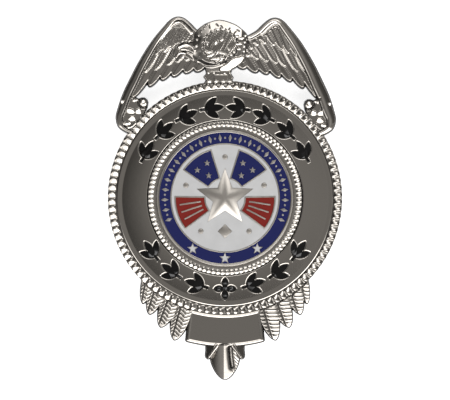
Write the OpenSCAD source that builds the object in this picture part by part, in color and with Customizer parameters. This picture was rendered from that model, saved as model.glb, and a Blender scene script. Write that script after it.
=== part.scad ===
// Security shield badge: a die-struck round shield under a spread eagle, with an
// enamelled seal let into its middle and a brooch pin on its back.
// It lies face up on the feet of its pin: +Y is towards the eagle and +Z is out of the
// face. The origin is under the middle of the round shield, on the surface that the
// feet stand on. All sizes are millimetres, and heights named _z are measured up from
// the back of the rim.

/* [Round shield] */
// Diameter over the outer rope
shield_d = 51; // [50.5:0.1:51.5]
// Thickness of the outer rope
rope_d = 2.3; // [2.1:0.1:2.4]
// Turns in the outer rope
rope_turns = 100; // [80:2:104]
// Outer diameter of the polished band that carries the laurel sprigs
band_outer_d = 44.8; // [44.4:0.1:45]
// Inner diameter of that band, over the raised lip round the seal
band_inner_d = 34; // [33.8:0.1:34.2]
// Height of the band at its inner edge
band_z = 2.75; // [2.6:0.05:2.9]
// Drop of the band from its inner to its outer edge
band_drop = 0.6; // [0.3:0.1:0.8]
// Turns in the inner rope
inner_rope_turns = 104; // [84:2:108]
// Depth of the hollow in the back
hollow_z = 1.2; // [0.8:0.1:1.3]

/* [Crest and foot] */
// Distance from the middle of the shield to the top of the wings and to the tip of the foot
half_height = 39.7; // [39.4:0.1:40]
// Height of the plate behind the wings and the foot
plate_z = 1.4; // [1.2:0.1:1.5]
// Height of the wings' smooth leading edge
wing_edge_z = 2.9; // [2.7:0.1:3.1]
// Radius of the eagle's head
head_r = 5.75; // [5.5:0.05:5.9]
// Height of the crown of the head
head_z = 4.2; // [3.8:0.1:4.4]
// Radius from the middle of the shield to the bottom of the blank plaque
plaque_r = 32.5; // [32.3:0.1:32.7]
// Distance between two ribs on the leaves beside the plaque
rib_pitch = 0.76; // [0.7:0.02:1]

/* [Seal] */
// Diameter of the seal's metal disc
seal_d = 29.5; // [29.4:0.05:29.6]
// Inner diameter of the blue enamel ring
seal_ring_inner_d = 23.7; // [23.4:0.1:24]
// Radius to the points of the middle star
star_r = 6.4; // [6:0.1:6.6]
// Height of the middle star's peak over the seal's walls
star_rise = 1.1; // [0.6:0.1:1.4]
// Width of the metal walls between two enamels
wall_t = 0.24; // [0.2:0.02:0.3]

/* [Brooch pin] */
// Height of the back of the rim over the feet of the pin
pin_drop = 3.2; // [2.8:0.1:3.6]
// Diameter of the pin's wire
wire_d = 1; // [0.8:0.1:1.2]
// Distance of the pin above the middle of the shield
pin_y = 3.2; // [2.4:0.1:3.6]

/* [Hidden] */
$fn = 64;
// Facets of the large circles that bound the crest and the foot
fine = 128;
// Clearance between two pieces that are let into each other
gap = 0.04;
// Depth by which a cutting shape stands out of the solid that it cuts
sliver = 0.01;

// Radii and heights of the round shield
shield_r = shield_d / 2;
rope_r = shield_r - rope_d / 2;
rope_z = 1.6;
rope_slant = 24;
rope_groove = 0.42;
rope_back_r = shield_r - 0.3;
rim_inner_r = shield_r - 3.2;
band_outer_r = band_outer_d / 2;
band_inner_r = band_inner_d / 2;
band_mid_r = (band_outer_r + band_inner_r) / 2;
band_edge_z = band_z - band_drop;
band_mid_z = (band_z + band_edge_z) / 2;
band_slope = atan(band_drop / (band_outer_r - band_inner_r));
lip_d = 0.8;
inner_lip_d = 0.66;
inner_rope_d = 1.44;
inner_rope_r = band_inner_r - inner_lip_d - inner_rope_d / 2;
inner_rope_z = 2.9;
inner_rope_groove = 0.24;
seal_r = seal_d / 2;
seat_r = seal_r + 0.1;
seat_z = 2.3;
seat_lip_z = 2.6;
hollow_r = seat_r + 1;

// Radii and heights inside the seal, its artwork and its small marks
seal_floor_z = 3.05;
seal_wall_z = 3.5;
relief_root = 0.2;
enamel_z = seal_wall_z - 0.06;
ring_outer_r = seal_r - 0.5;
ring_inner_r = seal_ring_inner_d / 2;
ring_mid_r = (ring_outer_r + ring_inner_r) / 2;
field_r = ring_inner_r - wall_t;
star_waist = 0.42;
ray_inner_r = 4.5;
ray_outer_r = field_r - 0.9;
ray_half_angle = 19;
ray_star_r = 0.72;
ray_star_waist = 0.3;
ray_bar_w = 0.26;
ray_bar_l = 4.6;
ray_bar_r = 5.3;
ring_star_r = 1.05;
ring_star_rim = 0.1;
lozenge = [1.6, 0.72];
pellet_r = 0.2;
field_pellet_r = 0.55;
field_pellet_at = 8.9;
field_lozenge_r = 1.5;
field_lozenge_at = 7.2;

// Laurel sprigs and the rosette between them
sprig_depth = 0.4;
sprig_leaf = [3.5, 1.35];
sprig_stem = [0.44, 1.5];
sprig_foot = -2.5;
rosette_leaf = [2.2, 1.3];
rosette_berry_r = 0.6;

// Widths and heights of the relief
feather_w = 2.7;
feather_side_drop = 0.55;
ear_z = 2.75;
ear_side_drop = 1.1;
ear_rib_r = 0.34;
ear_rib_w = 2.4;
ear_rib_margin = 1.1;
plaque_floor_z = 1.95;
plaque_border_z = 2.55;
plaque_border_w = 0.7;
bud_z = 2.9;
wing_edge_w = 1.8;
// Overlap of the crest and the foot with the round shield
join_overlap = 0.6;
// Turn of the wings towards the left of the wearer, in degrees
wing_lean = 0.6;
head_at = [-0.9, 33.4];
eye_at = [-2.9, 34];
eye_r = 0.75;
pedestal_at = [-4.4, 24.6];
pedestal_z = 2.2;
beak_z = 3.3;
jaw_z = 2.6;

// The wing's leading edge, from the notch beside the head round the peak to the foot of the wing
WING_EDGE = [
  [5.2, 35.7], [7.5, 37.5], [9.2, half_height - 0.7], [11, half_height - 0.1],
  [13, half_height - 1.1], [16.4, 34], [19.2, 29.6], [21, 26.1], [22.6, 23],
  [23.6, 19.8], [24, 17.3], [23.5, 15], [21.9, 13.7], [20.4, 13.4],
];
// The rest of the plate behind the wing, from its foot back under the feathers to the head
WING_BACK = [
  [17.8, 16.4], [17.6, 18.8], [20.4, 21], [16.6, 24.8],
  [11.6, 27], [7, 28.8], [2, 29.6], [2, 34],
];

// Columns of FEATHERS: where each long feather of a wing starts and where it ends
ROOT = 0;
TIP = 1;
FEATHERS = [
  [[1.6, 31.2], [6.6, 27.6]],
  [[2.8, 33.3], [9, 26.8]],
  [[4.8, 35.6], [11.7, 25.9]],
  [[6.6, 36.8], [14.3, 24.8]],
  [[8.6, 37.6], [17.2, 23.3]],
  [[11.2, 38], [20.7, 20.7]],
];
// Columns of FEATHER_LAYERS: share of the long feather's length, and height of its top
SHARE = 0;
TOP = 1;
FEATHER_LAYERS = [[1, 2.1], [0.68, 2.4], [0.38, 2.7]];

// Columns of PEARLS: place, radius and height of the pearls at the foot of each wing
AT = 0;
RADIUS = 1;
HEIGHT = 2;
PEARLS = [
  [[18.3, 20.1], 1, 2], [[20.9, 18.2], 0.75, 2.3],
  [[18.9, 18], 0.65, 2.3], [[20.8, 16.4], 0.7, 2.3],
];

// Columns of CROWN_ROWS: distance from the middle of the head, depth under its top, slope and turn
OUT = 0;
DOWN = 1;
SLOPE = 2;
TURNED = 3;
CROWN_ROWS = [[2, 0.5, 18, 15], [3.3, 0.95, 33, 0]];
CROWN_FROM = -75;
CROWN_STEP = 30;
CROWN_TO = 135;

// The hooked upper beak, from the brow round the tip and back to the mouth
BEAK = [
  [-4.4, 33.2], [-7.6, 33.7], [-10, 33.2], [-11.3, 31.8],
  [-10.8, 30], [-10, 31.2], [-8.6, 31.6], [-4.4, 31],
];
// The lower beak and the throat
JAW = [[-4.4, 31.4], [-8.4, 31.6], [-9.4, 30.7], [-8, 29.6], [-6, 28.9], [-4, 27.8], [-2, 28]];

// Columns of EARS: root, tip and width of the ribbed leaves on each side of the plaque
WIDTH = 2;
EARS = [
  [[16.6, -16.8], [17.9, -23.2], 2.9],
  [[14.4, -18.8], [16.5, -25.5], 3.9],
  [[11.3, -20.8], [14.1, -28.3], 4.4],
  [[8.6, -22.4], [11.1, -31.1], 4.7],
];

// Half of the plaque's outline, from its top corner to its bottom corner
PLAQUE_TOP = [7.9, -24];
PLAQUE_BOTTOM = [8.8, -31.3];

// Turns of the sprigs, of the seal's rays and of the small marks
sprigs_above = 8;
sprigs_below = 7;
SPRIG_ANGLES = concat(
  [for (i = [1:sprigs_above]) 90 + (i - (sprigs_above + 1) / 2) * 17],
  [for (i = [1:sprigs_below]) 270 + (i - (sprigs_below + 1) / 2) * 18]
);
BLUE_RAYS = [54, 126];
RED_RAYS = [198, 342];
RING_STARS = [237.5, 270, 302.5];
// The run of small lozenges and pellets over the top of the blue ring
ring_marks = 47;
ring_marks_from = 201;
ring_marks_pitch = 4.83;
RING_MARKS = [for (i = [0:ring_marks - 1]) ring_marks_from - i * ring_marks_pitch];
RAY_STARS = [[6, 0], [8.4, 1.3], [8.4, -1.3]];
RAY_BARS = [-9.5, 0, 9.5];
FIELD_PELLETS = [18, 90, 162, 234, 306];

SPRIG_NODES = [for (i = [1:len(SPRIG_ANGLES)]) str("sprig_", i)];
BLUE_RAY_NODES = [for (i = [1:len(BLUE_RAYS)]) str("blue_ray_", i)];
RED_RAY_NODES = [for (i = [1:len(RED_RAYS)]) str("red_ray_", i)];
RING_STAR_NODES = [for (i = [1:len(RING_STARS)]) str("white_star_", i)];

// A point of the smooth curve that runs through p[i] and p[i + 1]
function curve_point(p, i, t) =
  let (a = p[max(i - 1, 0)], b = p[i], c = p[i + 1], d = p[min(i + 2, len(p) - 1)])
  (2 * b + (c - a) * t + (2 * a - 5 * b + 4 * c - d) * t * t + (3 * b - a - 3 * c + d) * t * t * t) / 2;

// A smooth curve through all the points, with the given number of steps between each two
function curve(p, steps) =
  concat([for (i = [0:len(p) - 2], k = [0:steps - 1]) curve_point(p, i, k / steps)], [p[len(p) - 1]]);

// Unit direction of a path at its point i
function heading(path, i) =
  let (v = path[min(i + 1, len(path) - 1)] - path[max(i - 1, 0)]) v / norm(v);

// A path moved sideways to its right by the given distance
function beside(path, distance) =
  [for (i = [0:len(path) - 1]) let (h = heading(path, i)) path[i] + distance * [h[1], -h[0]]];

function backwards(path) = [for (i = [len(path) - 1:-1:0]) path[i]];

// A blade of a feather or leaf along +X: full at its root and rounded to a point at its tip
function blade(length, width) =
  let (side = [for (a = [0:15:90]) [length * pow(sin(a), 0.6), width / 2 * pow(cos(a), 0.7)]])
  concat(side, [for (i = [len(side) - 2:-1:0]) [side[i][0], -side[i][1]]]);

// The ten corners of a star with one point up
function star_rim(outer, inner) =
  [for (i = [0:9]) (i % 2 == 0 ? outer : inner) * [cos(90 + 36 * i), sin(90 + 36 * i)]];

// Places a shape that is drawn along +X from one point towards another
module along(from, to) {
  translate(from) rotate(atan2(to[1] - from[1], to[0] - from[0])) children();
}

// Lifts the badge off the surface by the height of its pin
module lifted() {
  translate([0, 0, pin_drop]) children();
}

module mirrored() {
  children();
  mirror([1, 0, 0]) children();
}

// A blade with a raised quill along its middle, falling away to both sides
module quilled_blade(length, width, from_z, top_z, side_drop) {
  intersection() {
    linear_extrude(top_z + 1) polygon(blade(length, width));
    rotate([90, 0, 90]) translate([0, 0, -sliver]) linear_extrude(length + 1)
      polygon([
        [-width, from_z], [-width, top_z - 2 * side_drop], [0, top_z],
        [width, top_z - 2 * side_drop], [width, from_z],
      ]);
  }
}

module leaf_outline(length, width) {
  arc_r = (length * length + width * width) / (4 * width);
  intersection() {
    translate([length / 2, arc_r - width / 2]) circle(arc_r);
    translate([length / 2, width / 2 - arc_r]) circle(arc_r);
  }
}

module star_outline(outer, inner) {
  polygon(star_rim(outer, inner));
}

// Grooves between the turns of a rope
module rope_grooves(radius, top_z, depth, turns) {
  for (i = [0:turns - 1])
    rotate(360 * i / turns)
      translate([radius, 0, top_z]) rotate([0, 90, rope_slant])
        cylinder(r = depth, h = 6 * depth, center = true, $fn = 4);
}

// Section of the round shield: hollow back, sloping band, both ropes and their lips
module shield_section() {
  polygon([
    [0, hollow_z], [hollow_r, hollow_z], [rim_inner_r, 0], [rope_back_r, 0],
    [rope_back_r, rope_z], [rope_r, rope_z], [band_outer_r + lip_d / 2, band_edge_z],
    [band_outer_r, band_edge_z], [band_inner_r, band_z], [inner_rope_r, inner_rope_z],
    [seat_r, seat_lip_z], [seat_r, seat_z], [0, seat_z],
  ]);
  translate([rope_r, rope_z]) circle(rope_d / 2);
  translate([band_outer_r + lip_d / 2, band_edge_z]) circle(lip_d / 2);
  translate([band_inner_r - inner_lip_d / 2, band_z]) circle(inner_lip_d / 2);
  difference() {
    translate([inner_rope_r, inner_rope_z]) circle(inner_rope_d / 2);
    square([seat_r, 2 * inner_rope_z]);
  }
}

module round_shield() {
  difference() {
    rotate_extrude() shield_section();
    rope_grooves(rope_r, rope_z + rope_d / 2, rope_groove, rope_turns);
    rope_grooves(inner_rope_r, inner_rope_z + inner_rope_d / 2, inner_rope_groove, inner_rope_turns);
  }
}

// One laurel sprig, drawn along +Y: three leaves on a short stem
module sprig_outline(grow) {
  for (lean = [-38, 0, 38])
    translate([0, lean == 0 ? -0.9 : -1.5]) rotate(90 + lean)
      translate([-grow, 0]) leaf_outline(sprig_leaf[0] + 2 * grow, sprig_leaf[1] + 2 * grow);
  translate([-sprig_stem[0] / 2 - grow, sprig_foot - grow])
    square([sprig_stem[0] + 2 * grow, sprig_stem[1] + grow]);
}

// The rosette at the bottom of the wreath: four leaves round a berry
module rosette_outline(grow) {
  for (turn = [0:90:270])
    rotate(turn) translate([0.2 - grow, 0])
      leaf_outline(rosette_leaf[0] + 2 * grow, rosette_leaf[1] + 2 * grow);
  circle(rosette_berry_r + grow);
}

// Places a sprig on the sloping band, pointing up the wreath on either side
module on_band(angle) {
  rotate(angle)
    translate([band_mid_r, 0, band_mid_z])
      rotate([0, band_slope, 0]) rotate(angle > 90 && angle < 270 ? 180 : 0) children();
}

module band_ornament(angle, grow) {
  if (angle == 270)
    rosette_outline(grow);
  else
    sprig_outline(grow);
}

module feathers() {
  for (layer = FEATHER_LAYERS, quill = FEATHERS)
    along(quill[ROOT], quill[TIP])
      quilled_blade(
        length = layer[SHARE] * norm(quill[TIP] - quill[ROOT]), width = feather_w,
        from_z = layer[SHARE] == 1 ? 0 : plate_z - relief_root, top_z = layer[TOP], side_drop = feather_side_drop
      );
}

// One wing, on the +X side
module wing() {
  edge = curve(WING_EDGE, 3);
  linear_extrude(plate_z) polygon(concat(beside(edge, wing_edge_w / 2), WING_BACK));
  linear_extrude(wing_edge_z) polygon(concat(edge, backwards(beside(edge, wing_edge_w))));
  feathers();
  for (pearl = PEARLS)
    translate([pearl[AT][0], pearl[AT][1], 0]) {
      cylinder(r = pearl[RADIUS] * 0.9, h = pearl[HEIGHT]);
      translate([0, 0, pearl[HEIGHT]]) sphere(pearl[RADIUS]);
    }
}

// Short feathers that lie on the dome of the head, from its crown round the neck
module crown_feathers() {
  for (row = CROWN_ROWS, turn = [CROWN_FROM:CROWN_STEP:CROWN_TO])
    translate([head_at[0], head_at[1], 0]) rotate(turn + row[TURNED])
      translate([row[OUT], 0, head_z - row[DOWN]]) rotate([0, row[SLOPE], 0])
        quilled_blade(length = 2.2, width = 1.8, from_z = -0.8, top_z = 0.5, side_drop = 0.4);
}

// The head in profile, its hooked beak, and the pedestal that it rests on
module head() {
  rise = head_z - plate_z;
  dome_r = (head_r * head_r + rise * rise) / (2 * rise);
  translate(head_at)
    intersection() {
      translate([0, 0, head_z - dome_r]) sphere(dome_r);
      cylinder(r = head_r - 0.1, h = head_z + 1);
    }
  translate([eye_at[0], eye_at[1], head_z - 0.5]) sphere(eye_r);
  crown_feathers();
  linear_extrude(beak_z) polygon(curve(BEAK, 3));
  linear_extrude(jaw_z) polygon(curve(JAW, 3));
  translate(pedestal_at) cube([6.4, 5, pedestal_z]);
}

module crest() {
  rotate(-wing_lean) mirrored() wing();
  head();
}

// The ribbed leaves on one side of the plaque
module ears() {
  for (ear = EARS)
    along(ear[ROOT], ear[TIP]) {
      length = norm(ear[TIP] - ear[ROOT]);
      difference() {
        quilled_blade(length, ear[WIDTH], from_z = 0, top_z = ear_z, side_drop = ear_side_drop);
        for (x = [ear_rib_margin:rib_pitch:length - ear_rib_margin])
          translate([x, 0, ear_z]) rotate([90, 0, 0])
            cylinder(r = ear_rib_r, h = ear_rib_w, center = true, $fn = 4);
      }
    }
}

// The four corners of the plaque, all moved in by the given distance, with room for its curved ends
module plaque_sides(inset) {
  reach = 4;
  right = [
    PLAQUE_TOP - [inset, -reach], PLAQUE_TOP - [inset, 0],
    PLAQUE_BOTTOM - [inset, 0], PLAQUE_BOTTOM - [inset, reach],
  ];
  polygon(concat(right, [for (i = [3:-1:0]) [-right[i][0], right[i][1]]]));
}

// The blank plaque: a flat panel inside a raised border, curved with the shield
module plaque() {
  difference() {
    linear_extrude(plaque_border_z)
      intersection() {
        circle(plaque_r, $fn = fine);
        plaque_sides(0);
      }
    translate([0, 0, plaque_floor_z]) linear_extrude(1)
      intersection() {
        difference() {
          circle(plaque_r - plaque_border_w, $fn = fine);
          circle(shield_r + plaque_border_w / 2, $fn = fine);
        }
        plaque_sides(plaque_border_w);
      }
  }
}

// The pointed bud at the tip, between two small sepals
module bud() {
  length = 11.6;
  width = 7;
  edge_z = 1;
  sepal_z = plate_z + 0.3;
  difference() {
    translate([0, length - half_height]) rotate(-90)
      intersection() {
        linear_extrude(bud_z) leaf_outline(length, width);
        rotate([90, 0, 90]) linear_extrude(length)
          polygon([[-width, 0], [-width / 2, edge_z], [0, bud_z], [width / 2, edge_z], [width, 0]]);
      }
    translate([0, 0, -1]) cylinder(r = plaque_r - plaque_border_w / 2, h = bud_z + 2, $fn = fine);
  }
  mirrored() along([2.2, -30.8], [3.9, -35.4]) linear_extrude(sepal_z) leaf_outline(5, 2.4);
}

module shield() {
  color([0.62, 0.61, 0.6])
    lifted()
      difference() {
        union() {
          round_shield();
          difference() {
            union() {
              crest();
              mirrored() ears();
              plaque();
              bud();
            }
            translate([0, 0, -1]) cylinder(r = shield_r - join_overlap, h = 8, $fn = fine);
          }
        }
        for (angle = SPRIG_ANGLES)
          on_band(angle) translate([0, 0, -sprig_depth]) linear_extrude(1) band_ornament(angle, gap);
      }
}

module sprig(angle) {
  color([0.09, 0.08, 0.08])
    lifted() on_band(angle)
      translate([0, 0, gap - sprig_depth]) linear_extrude(sprig_depth - 2 * gap) band_ornament(angle, 0);
}

// One ray of the seal, with both its straight sides moved out by the given distance
module ray_outline(angle, grow) {
  rotate(angle)
    intersection() {
      difference() {
        circle(ray_outer_r + grow);
        circle(ray_inner_r - grow);
      }
      translate([-grow / sin(ray_half_angle), 0])
        polygon([[0, 0], for (side = [-1, 1]) seal_d * [cos(ray_half_angle), side * sin(ray_half_angle)]]);
    }
}

// Small silver stars on a blue ray
module ray_stars(angle, grow) {
  for (at = RAY_STARS)
    rotate(angle) translate(at) rotate(-angle)
      star_outline(ray_star_r + 2 * grow, ray_star_waist + grow);
}

// Thin silver bars along a red ray
module ray_bars(angle, grow) {
  for (turn = RAY_BARS)
    rotate(angle + turn) translate([ray_bar_r - grow, -ray_bar_w / 2 - grow])
      square([ray_bar_l + 2 * grow, ray_bar_w + 2 * grow]);
}

// Pellets and a lozenge on the white field, at the points of the star
module field_marks(grow) {
  for (angle = FIELD_PELLETS)
    rotate(angle) translate([field_pellet_at, 0]) circle(field_pellet_r + grow, $fn = 24);
  translate([0, -field_lozenge_at]) rotate(90) circle(field_lozenge_r + 1.5 * grow, $fn = 4);
}

// Lozenges and pellets by turns on the blue ring
module ring_marks(grow) {
  for (i = [0:len(RING_MARKS) - 1])
    rotate(RING_MARKS[i]) translate([ring_mid_r, 0])
      if (i % 2 == 0)
        polygon([for (turn = [0:90:270])
          [(lozenge[0] / 2 + 2 * grow) * cos(turn), (lozenge[1] / 2 + grow) * sin(turn)]]);
      else
        circle(pellet_r + grow, $fn = 24);
}

module ring_star(angle, grow) {
  rotate(angle) translate([ring_mid_r, 0]) rotate(-angle)
    star_outline(ring_star_r + 2 * grow, ring_star_r * star_waist + grow);
}

// The middle star, a low pyramid on each of its ten half points
module star_relief() {
  rim = star_rim(star_r, star_r * star_waist);
  base_z = seal_floor_z - relief_root;
  polyhedron(
    points = concat(
      [for (p = rim) [p[0], p[1], base_z]], [for (p = rim) [p[0], p[1], seal_wall_z]],
      [[0, 0, seal_wall_z + star_rise]]
    ),
    faces = concat(
      [[for (i = [0:9]) i]], [for (i = [0:9]) [i, i + 10, (i + 1) % 10 + 10, (i + 1) % 10]],
      [for (i = [0:9]) [i + 10, 20, (i + 1) % 10 + 10]]
    )
  );
}

// The metal that stands up between the enamels
module seal_walls() {
  difference() {
    circle(seal_r);
    circle(ring_outer_r);
  }
  difference() {
    circle(ring_inner_r);
    circle(field_r);
  }
  for (angle = concat(BLUE_RAYS, RED_RAYS))
    difference() {
      ray_outline(angle, wall_t);
      ray_outline(angle, 0);
    }
  for (angle = RING_STARS)
    difference() {
      ring_star(angle, ring_star_rim);
      ring_star(angle, 0);
    }
  for (angle = BLUE_RAYS)
    ray_stars(angle, 0);
  for (angle = RED_RAYS)
    ray_bars(angle, 0);
  field_marks(0);
  ring_marks(0);
}

module seal_disc() {
  color([0.72, 0.71, 0.7])
    lifted() {
      translate([0, 0, seat_z + gap]) cylinder(r = seal_r, h = seal_floor_z - seat_z - gap);
      translate([0, 0, seal_floor_z - relief_root])
        linear_extrude(seal_wall_z - seal_floor_z + relief_root) seal_walls();
      star_relief();
    }
}

// Fills a flat outline with enamel, from just over the seal's floor to just under its walls
module enamel() {
  lifted() translate([0, 0, seal_floor_z + gap]) linear_extrude(enamel_z - seal_floor_z - gap) children();
}

module blue_ring() {
  color([0.17, 0.19, 0.42])
    enamel() difference() {
      circle(ring_outer_r - gap);
      circle(ring_inner_r + gap);
      for (angle = RING_STARS)
        ring_star(angle, ring_star_rim + gap);
      ring_marks(gap);
    }
}

module white_field() {
  color([0.93, 0.93, 0.92])
    enamel() difference() {
      circle(field_r - gap);
      star_outline(star_r + 2 * gap, star_r * star_waist + gap);
      for (angle = concat(BLUE_RAYS, RED_RAYS))
        ray_outline(angle, wall_t + gap);
      field_marks(gap);
    }
}

module blue_ray(angle) {
  color([0.17, 0.19, 0.42])
    enamel() difference() {
      ray_outline(angle, -gap);
      ray_stars(angle, gap);
    }
}

module red_ray(angle) {
  color([0.62, 0.16, 0.14])
    enamel() difference() {
      ray_outline(angle, -gap);
      ray_bars(angle, gap);
    }
}

module white_star(angle) {
  color([0.93, 0.93, 0.92]) enamel() ring_star(angle, -gap / 2);
}

// A bar on the back with a block at each end and the wire between them
module brooch_pin() {
  post = [3, 6];
  span = 26;
  bar_t = 0.8;
  bar_top = pin_drop + hollow_z - gap;
  wire_z = 1.5;
  free_end = 2.5;
  color([0.7, 0.7, 0.7])
    translate([0, pin_y, 0]) {
      translate([-span / 2 - post[0] / 2, -post[1] / 2, bar_top - bar_t])
        cube([span + post[0], post[1], bar_t]);
      for (x = [-span / 2, span / 2])
        translate([x - post[0] / 2, -post[1] / 2, 0]) cube([post[0], post[1], bar_top - bar_t / 2]);
      translate([span / 2, 0, wire_z]) rotate([0, -90, 0])
        cylinder(d = wire_d, h = span + post[0] / 2 + free_end);
    }
}

shield();
seal_disc();
blue_ring();
white_field();
for (i = [0:len(BLUE_RAYS) - 1])
  blue_ray(BLUE_RAYS[i]);
for (i = [0:len(RED_RAYS) - 1])
  red_ray(RED_RAYS[i]);
for (i = [0:len(RING_STARS) - 1])
  white_star(RING_STARS[i]);
for (i = [0:len(SPRIG_ANGLES) - 1])
  sprig(SPRIG_ANGLES[i]);
brooch_pin();
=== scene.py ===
"""The looks of a security shield badge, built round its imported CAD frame.

The badge lies face up on the feet of its pin, as in the CAD: +Y is towards the eagle,
+Z is out of the face, and the origin is under the middle of the round shield. Every
shape is worked out in millimetres above the back of the rim, and is turned into metres
and lifted by the height of the pin when it becomes an object.
"""

import logging
import math
from dataclasses import dataclass, replace
from enum import Enum

import bmesh
import bpy
import numpy as np
from mathutils import Matrix, Vector


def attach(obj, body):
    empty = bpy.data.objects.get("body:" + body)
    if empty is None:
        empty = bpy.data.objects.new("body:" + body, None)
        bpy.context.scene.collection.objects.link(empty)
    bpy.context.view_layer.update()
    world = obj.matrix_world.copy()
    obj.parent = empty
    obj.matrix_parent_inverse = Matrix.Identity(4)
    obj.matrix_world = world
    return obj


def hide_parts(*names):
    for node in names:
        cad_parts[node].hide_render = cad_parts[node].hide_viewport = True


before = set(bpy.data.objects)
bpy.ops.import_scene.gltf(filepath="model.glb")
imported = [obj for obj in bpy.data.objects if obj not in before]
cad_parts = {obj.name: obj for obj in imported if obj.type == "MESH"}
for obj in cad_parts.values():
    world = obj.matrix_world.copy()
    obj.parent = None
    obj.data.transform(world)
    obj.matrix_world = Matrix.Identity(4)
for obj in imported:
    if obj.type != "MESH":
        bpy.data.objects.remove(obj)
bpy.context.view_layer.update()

log = logging.getLogger("badge")

Point = tuple[float, float]
Colour = tuple[float, float, float, float]

# One millimetre, in metres
METRES = 0.001
# Height of the back of the rim over the ground, in millimetres, as all below
PIN_DROP = 3.2
# Points of a CAD mesh that are nearer to each other are one
MERGE = 0.002
# Height of a relief where nothing is raised yet, and distance inside an outline far outside it
NOWHERE = -9.0
# A distance over any on the badge
FARAWAY = 1e9
# Share of its length up to which the outline of a feather or leaf is worked out
PAST_TIP = 1.3


def linear(hex_colour: str) -> Colour:
    """Turns an sRGB colour into the linear one that a shader takes.

    Args:
        hex_colour: The colour as six hex digits.

    Returns:
        The linear red, green and blue, and an alpha of 1.
    """
    parts = [int(hex_colour[i:i + 2], 16) / 255 for i in (0, 2, 4)]
    red, green, blue = [c / 12.92 if c <= 0.04045 else ((c + 0.055) / 1.055) ** 2.4 for c in parts]
    return red, green, blue, 1.0


def add_node(tree: bpy.types.NodeTree, kind: str, inputs: dict | None = None, **settings) -> bpy.types.Node:
    """Adds a node with its settings, values and links.

    Args:
        tree: The node tree.
        kind: The node's type name.
        inputs: For each socket name or number, a value, or another node's output socket.
        **settings: The node's own properties.

    Returns:
        The new node.
    """
    node = tree.nodes.new(kind)
    for name, value in settings.items():
        setattr(node, name, value)
    for socket, value in (inputs or {}).items():
        if isinstance(value, bpy.types.NodeSocket):
            tree.links.new(value, node.inputs[socket])
        else:
            node.inputs[socket].default_value = value
    return node


def set_ramp(node: bpy.types.Node, stops: list[tuple[float, Colour]]) -> None:
    """Sets the stops of a colour ramp.

    Args:
        node: The colour ramp.
        stops: Place and colour of each stop, in order.
    """
    elements = node.color_ramp.elements
    while len(elements) > 1:
        elements.remove(elements[-1])
    elements[0].position, elements[0].color = stops[0]
    for place, colour in stops[1:]:
        elements.new(place).color = colour


def smooth_curve(points: list[Point], steps: int, closed: bool = False) -> list[Point]:
    """Runs a smooth curve through all the points.

    Args:
        points: The points to pass through.
        steps: Steps between each two points.
        closed: Whether the curve ends where it starts.

    Returns:
        The curve's points.
    """
    count = len(points)
    spans = count if closed else count - 1
    out = []
    for i in range(spans):
        around = [(i + k) % count if closed else min(max(i + k, 0), count - 1) for k in (-1, 0, 1, 2)]
        a, b, c, d = [np.array(points[k], float) for k in around]
        for k in range(steps):
            t = k / steps
            at = (2 * b + (c - a) * t + (2 * a - 5 * b + 4 * c - d) * t ** 2
                  + (3 * b - a - 3 * c + d) * t ** 3) / 2
            out.append((at[0], at[1]))
    if not closed:
        out.append(tuple(points[-1]))
    return out


def mark_painted_shade(mesh: bpy.types.Mesh, reach: float, walls: float) -> None:
    """Stores in each vertex how much painted shade it gets: recesses get painted shade, and outer walls a
    painted dark reflection.

    Args:
        mesh: The finished mesh, in metres.
        reach: Radius in millimetres of the hollows that get the painted shade fully.
        walls: Share of painted shade, standing in for a dark reflection, on a surface that stands upright.
    """
    # How often the painted shade spreads to its neighbours, and the share that a place keeps of its own
    spreads, kept = 2, 0.8
    # Upward part of the direction that a wall has less of, and the run over which walls get their painted
    # dark reflection
    level, turning = 0.81, 0.12
    count = len(mesh.vertices)
    at = np.empty(count * 3)
    mesh.vertices.foreach_get("co", at)
    at = at.reshape(-1, 3) / METRES
    facing = np.empty(count * 3)
    mesh.vertices.foreach_get("normal", facing)
    facing = facing.reshape(-1, 3)
    edges = np.empty(len(mesh.edges) * 2, int)
    mesh.edges.foreach_get("vertices", edges)
    a, b = edges.reshape(-1, 2).T
    span = at[b] - at[a]
    size = np.maximum((span ** 2).sum(1), 1e-6)
    hollow = np.zeros(count)
    used = np.zeros(count)
    np.add.at(hollow, a, 2 * (facing[a] * span).sum(1) / size)
    np.add.at(hollow, b, -2 * (facing[b] * span).sum(1) / size)
    np.add.at(used, a, 1)
    np.add.at(used, b, 1)
    used = np.maximum(used, 1)
    # Painted shade in the hollows, by how much the surface bends in round each vertex
    dark = np.clip(hollow / used * reach, 0, 1)
    for _ in range(spreads):
        spread = np.zeros(count)
        np.add.at(spread, a, dark[b])
        np.add.at(spread, b, dark[a])
        dark = np.maximum(dark * kept, 0.5 * dark + 0.5 * spread / used)
    # Painted dark reflection on upright walls
    dark = np.maximum(dark, walls * np.clip((level - facing[:, 2]) / turning, 0, 1))
    layer = mesh.attributes.new("painted_shade", "FLOAT", "POINT")
    layer.data.foreach_set("value", np.clip(dark, 0, 1))


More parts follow.
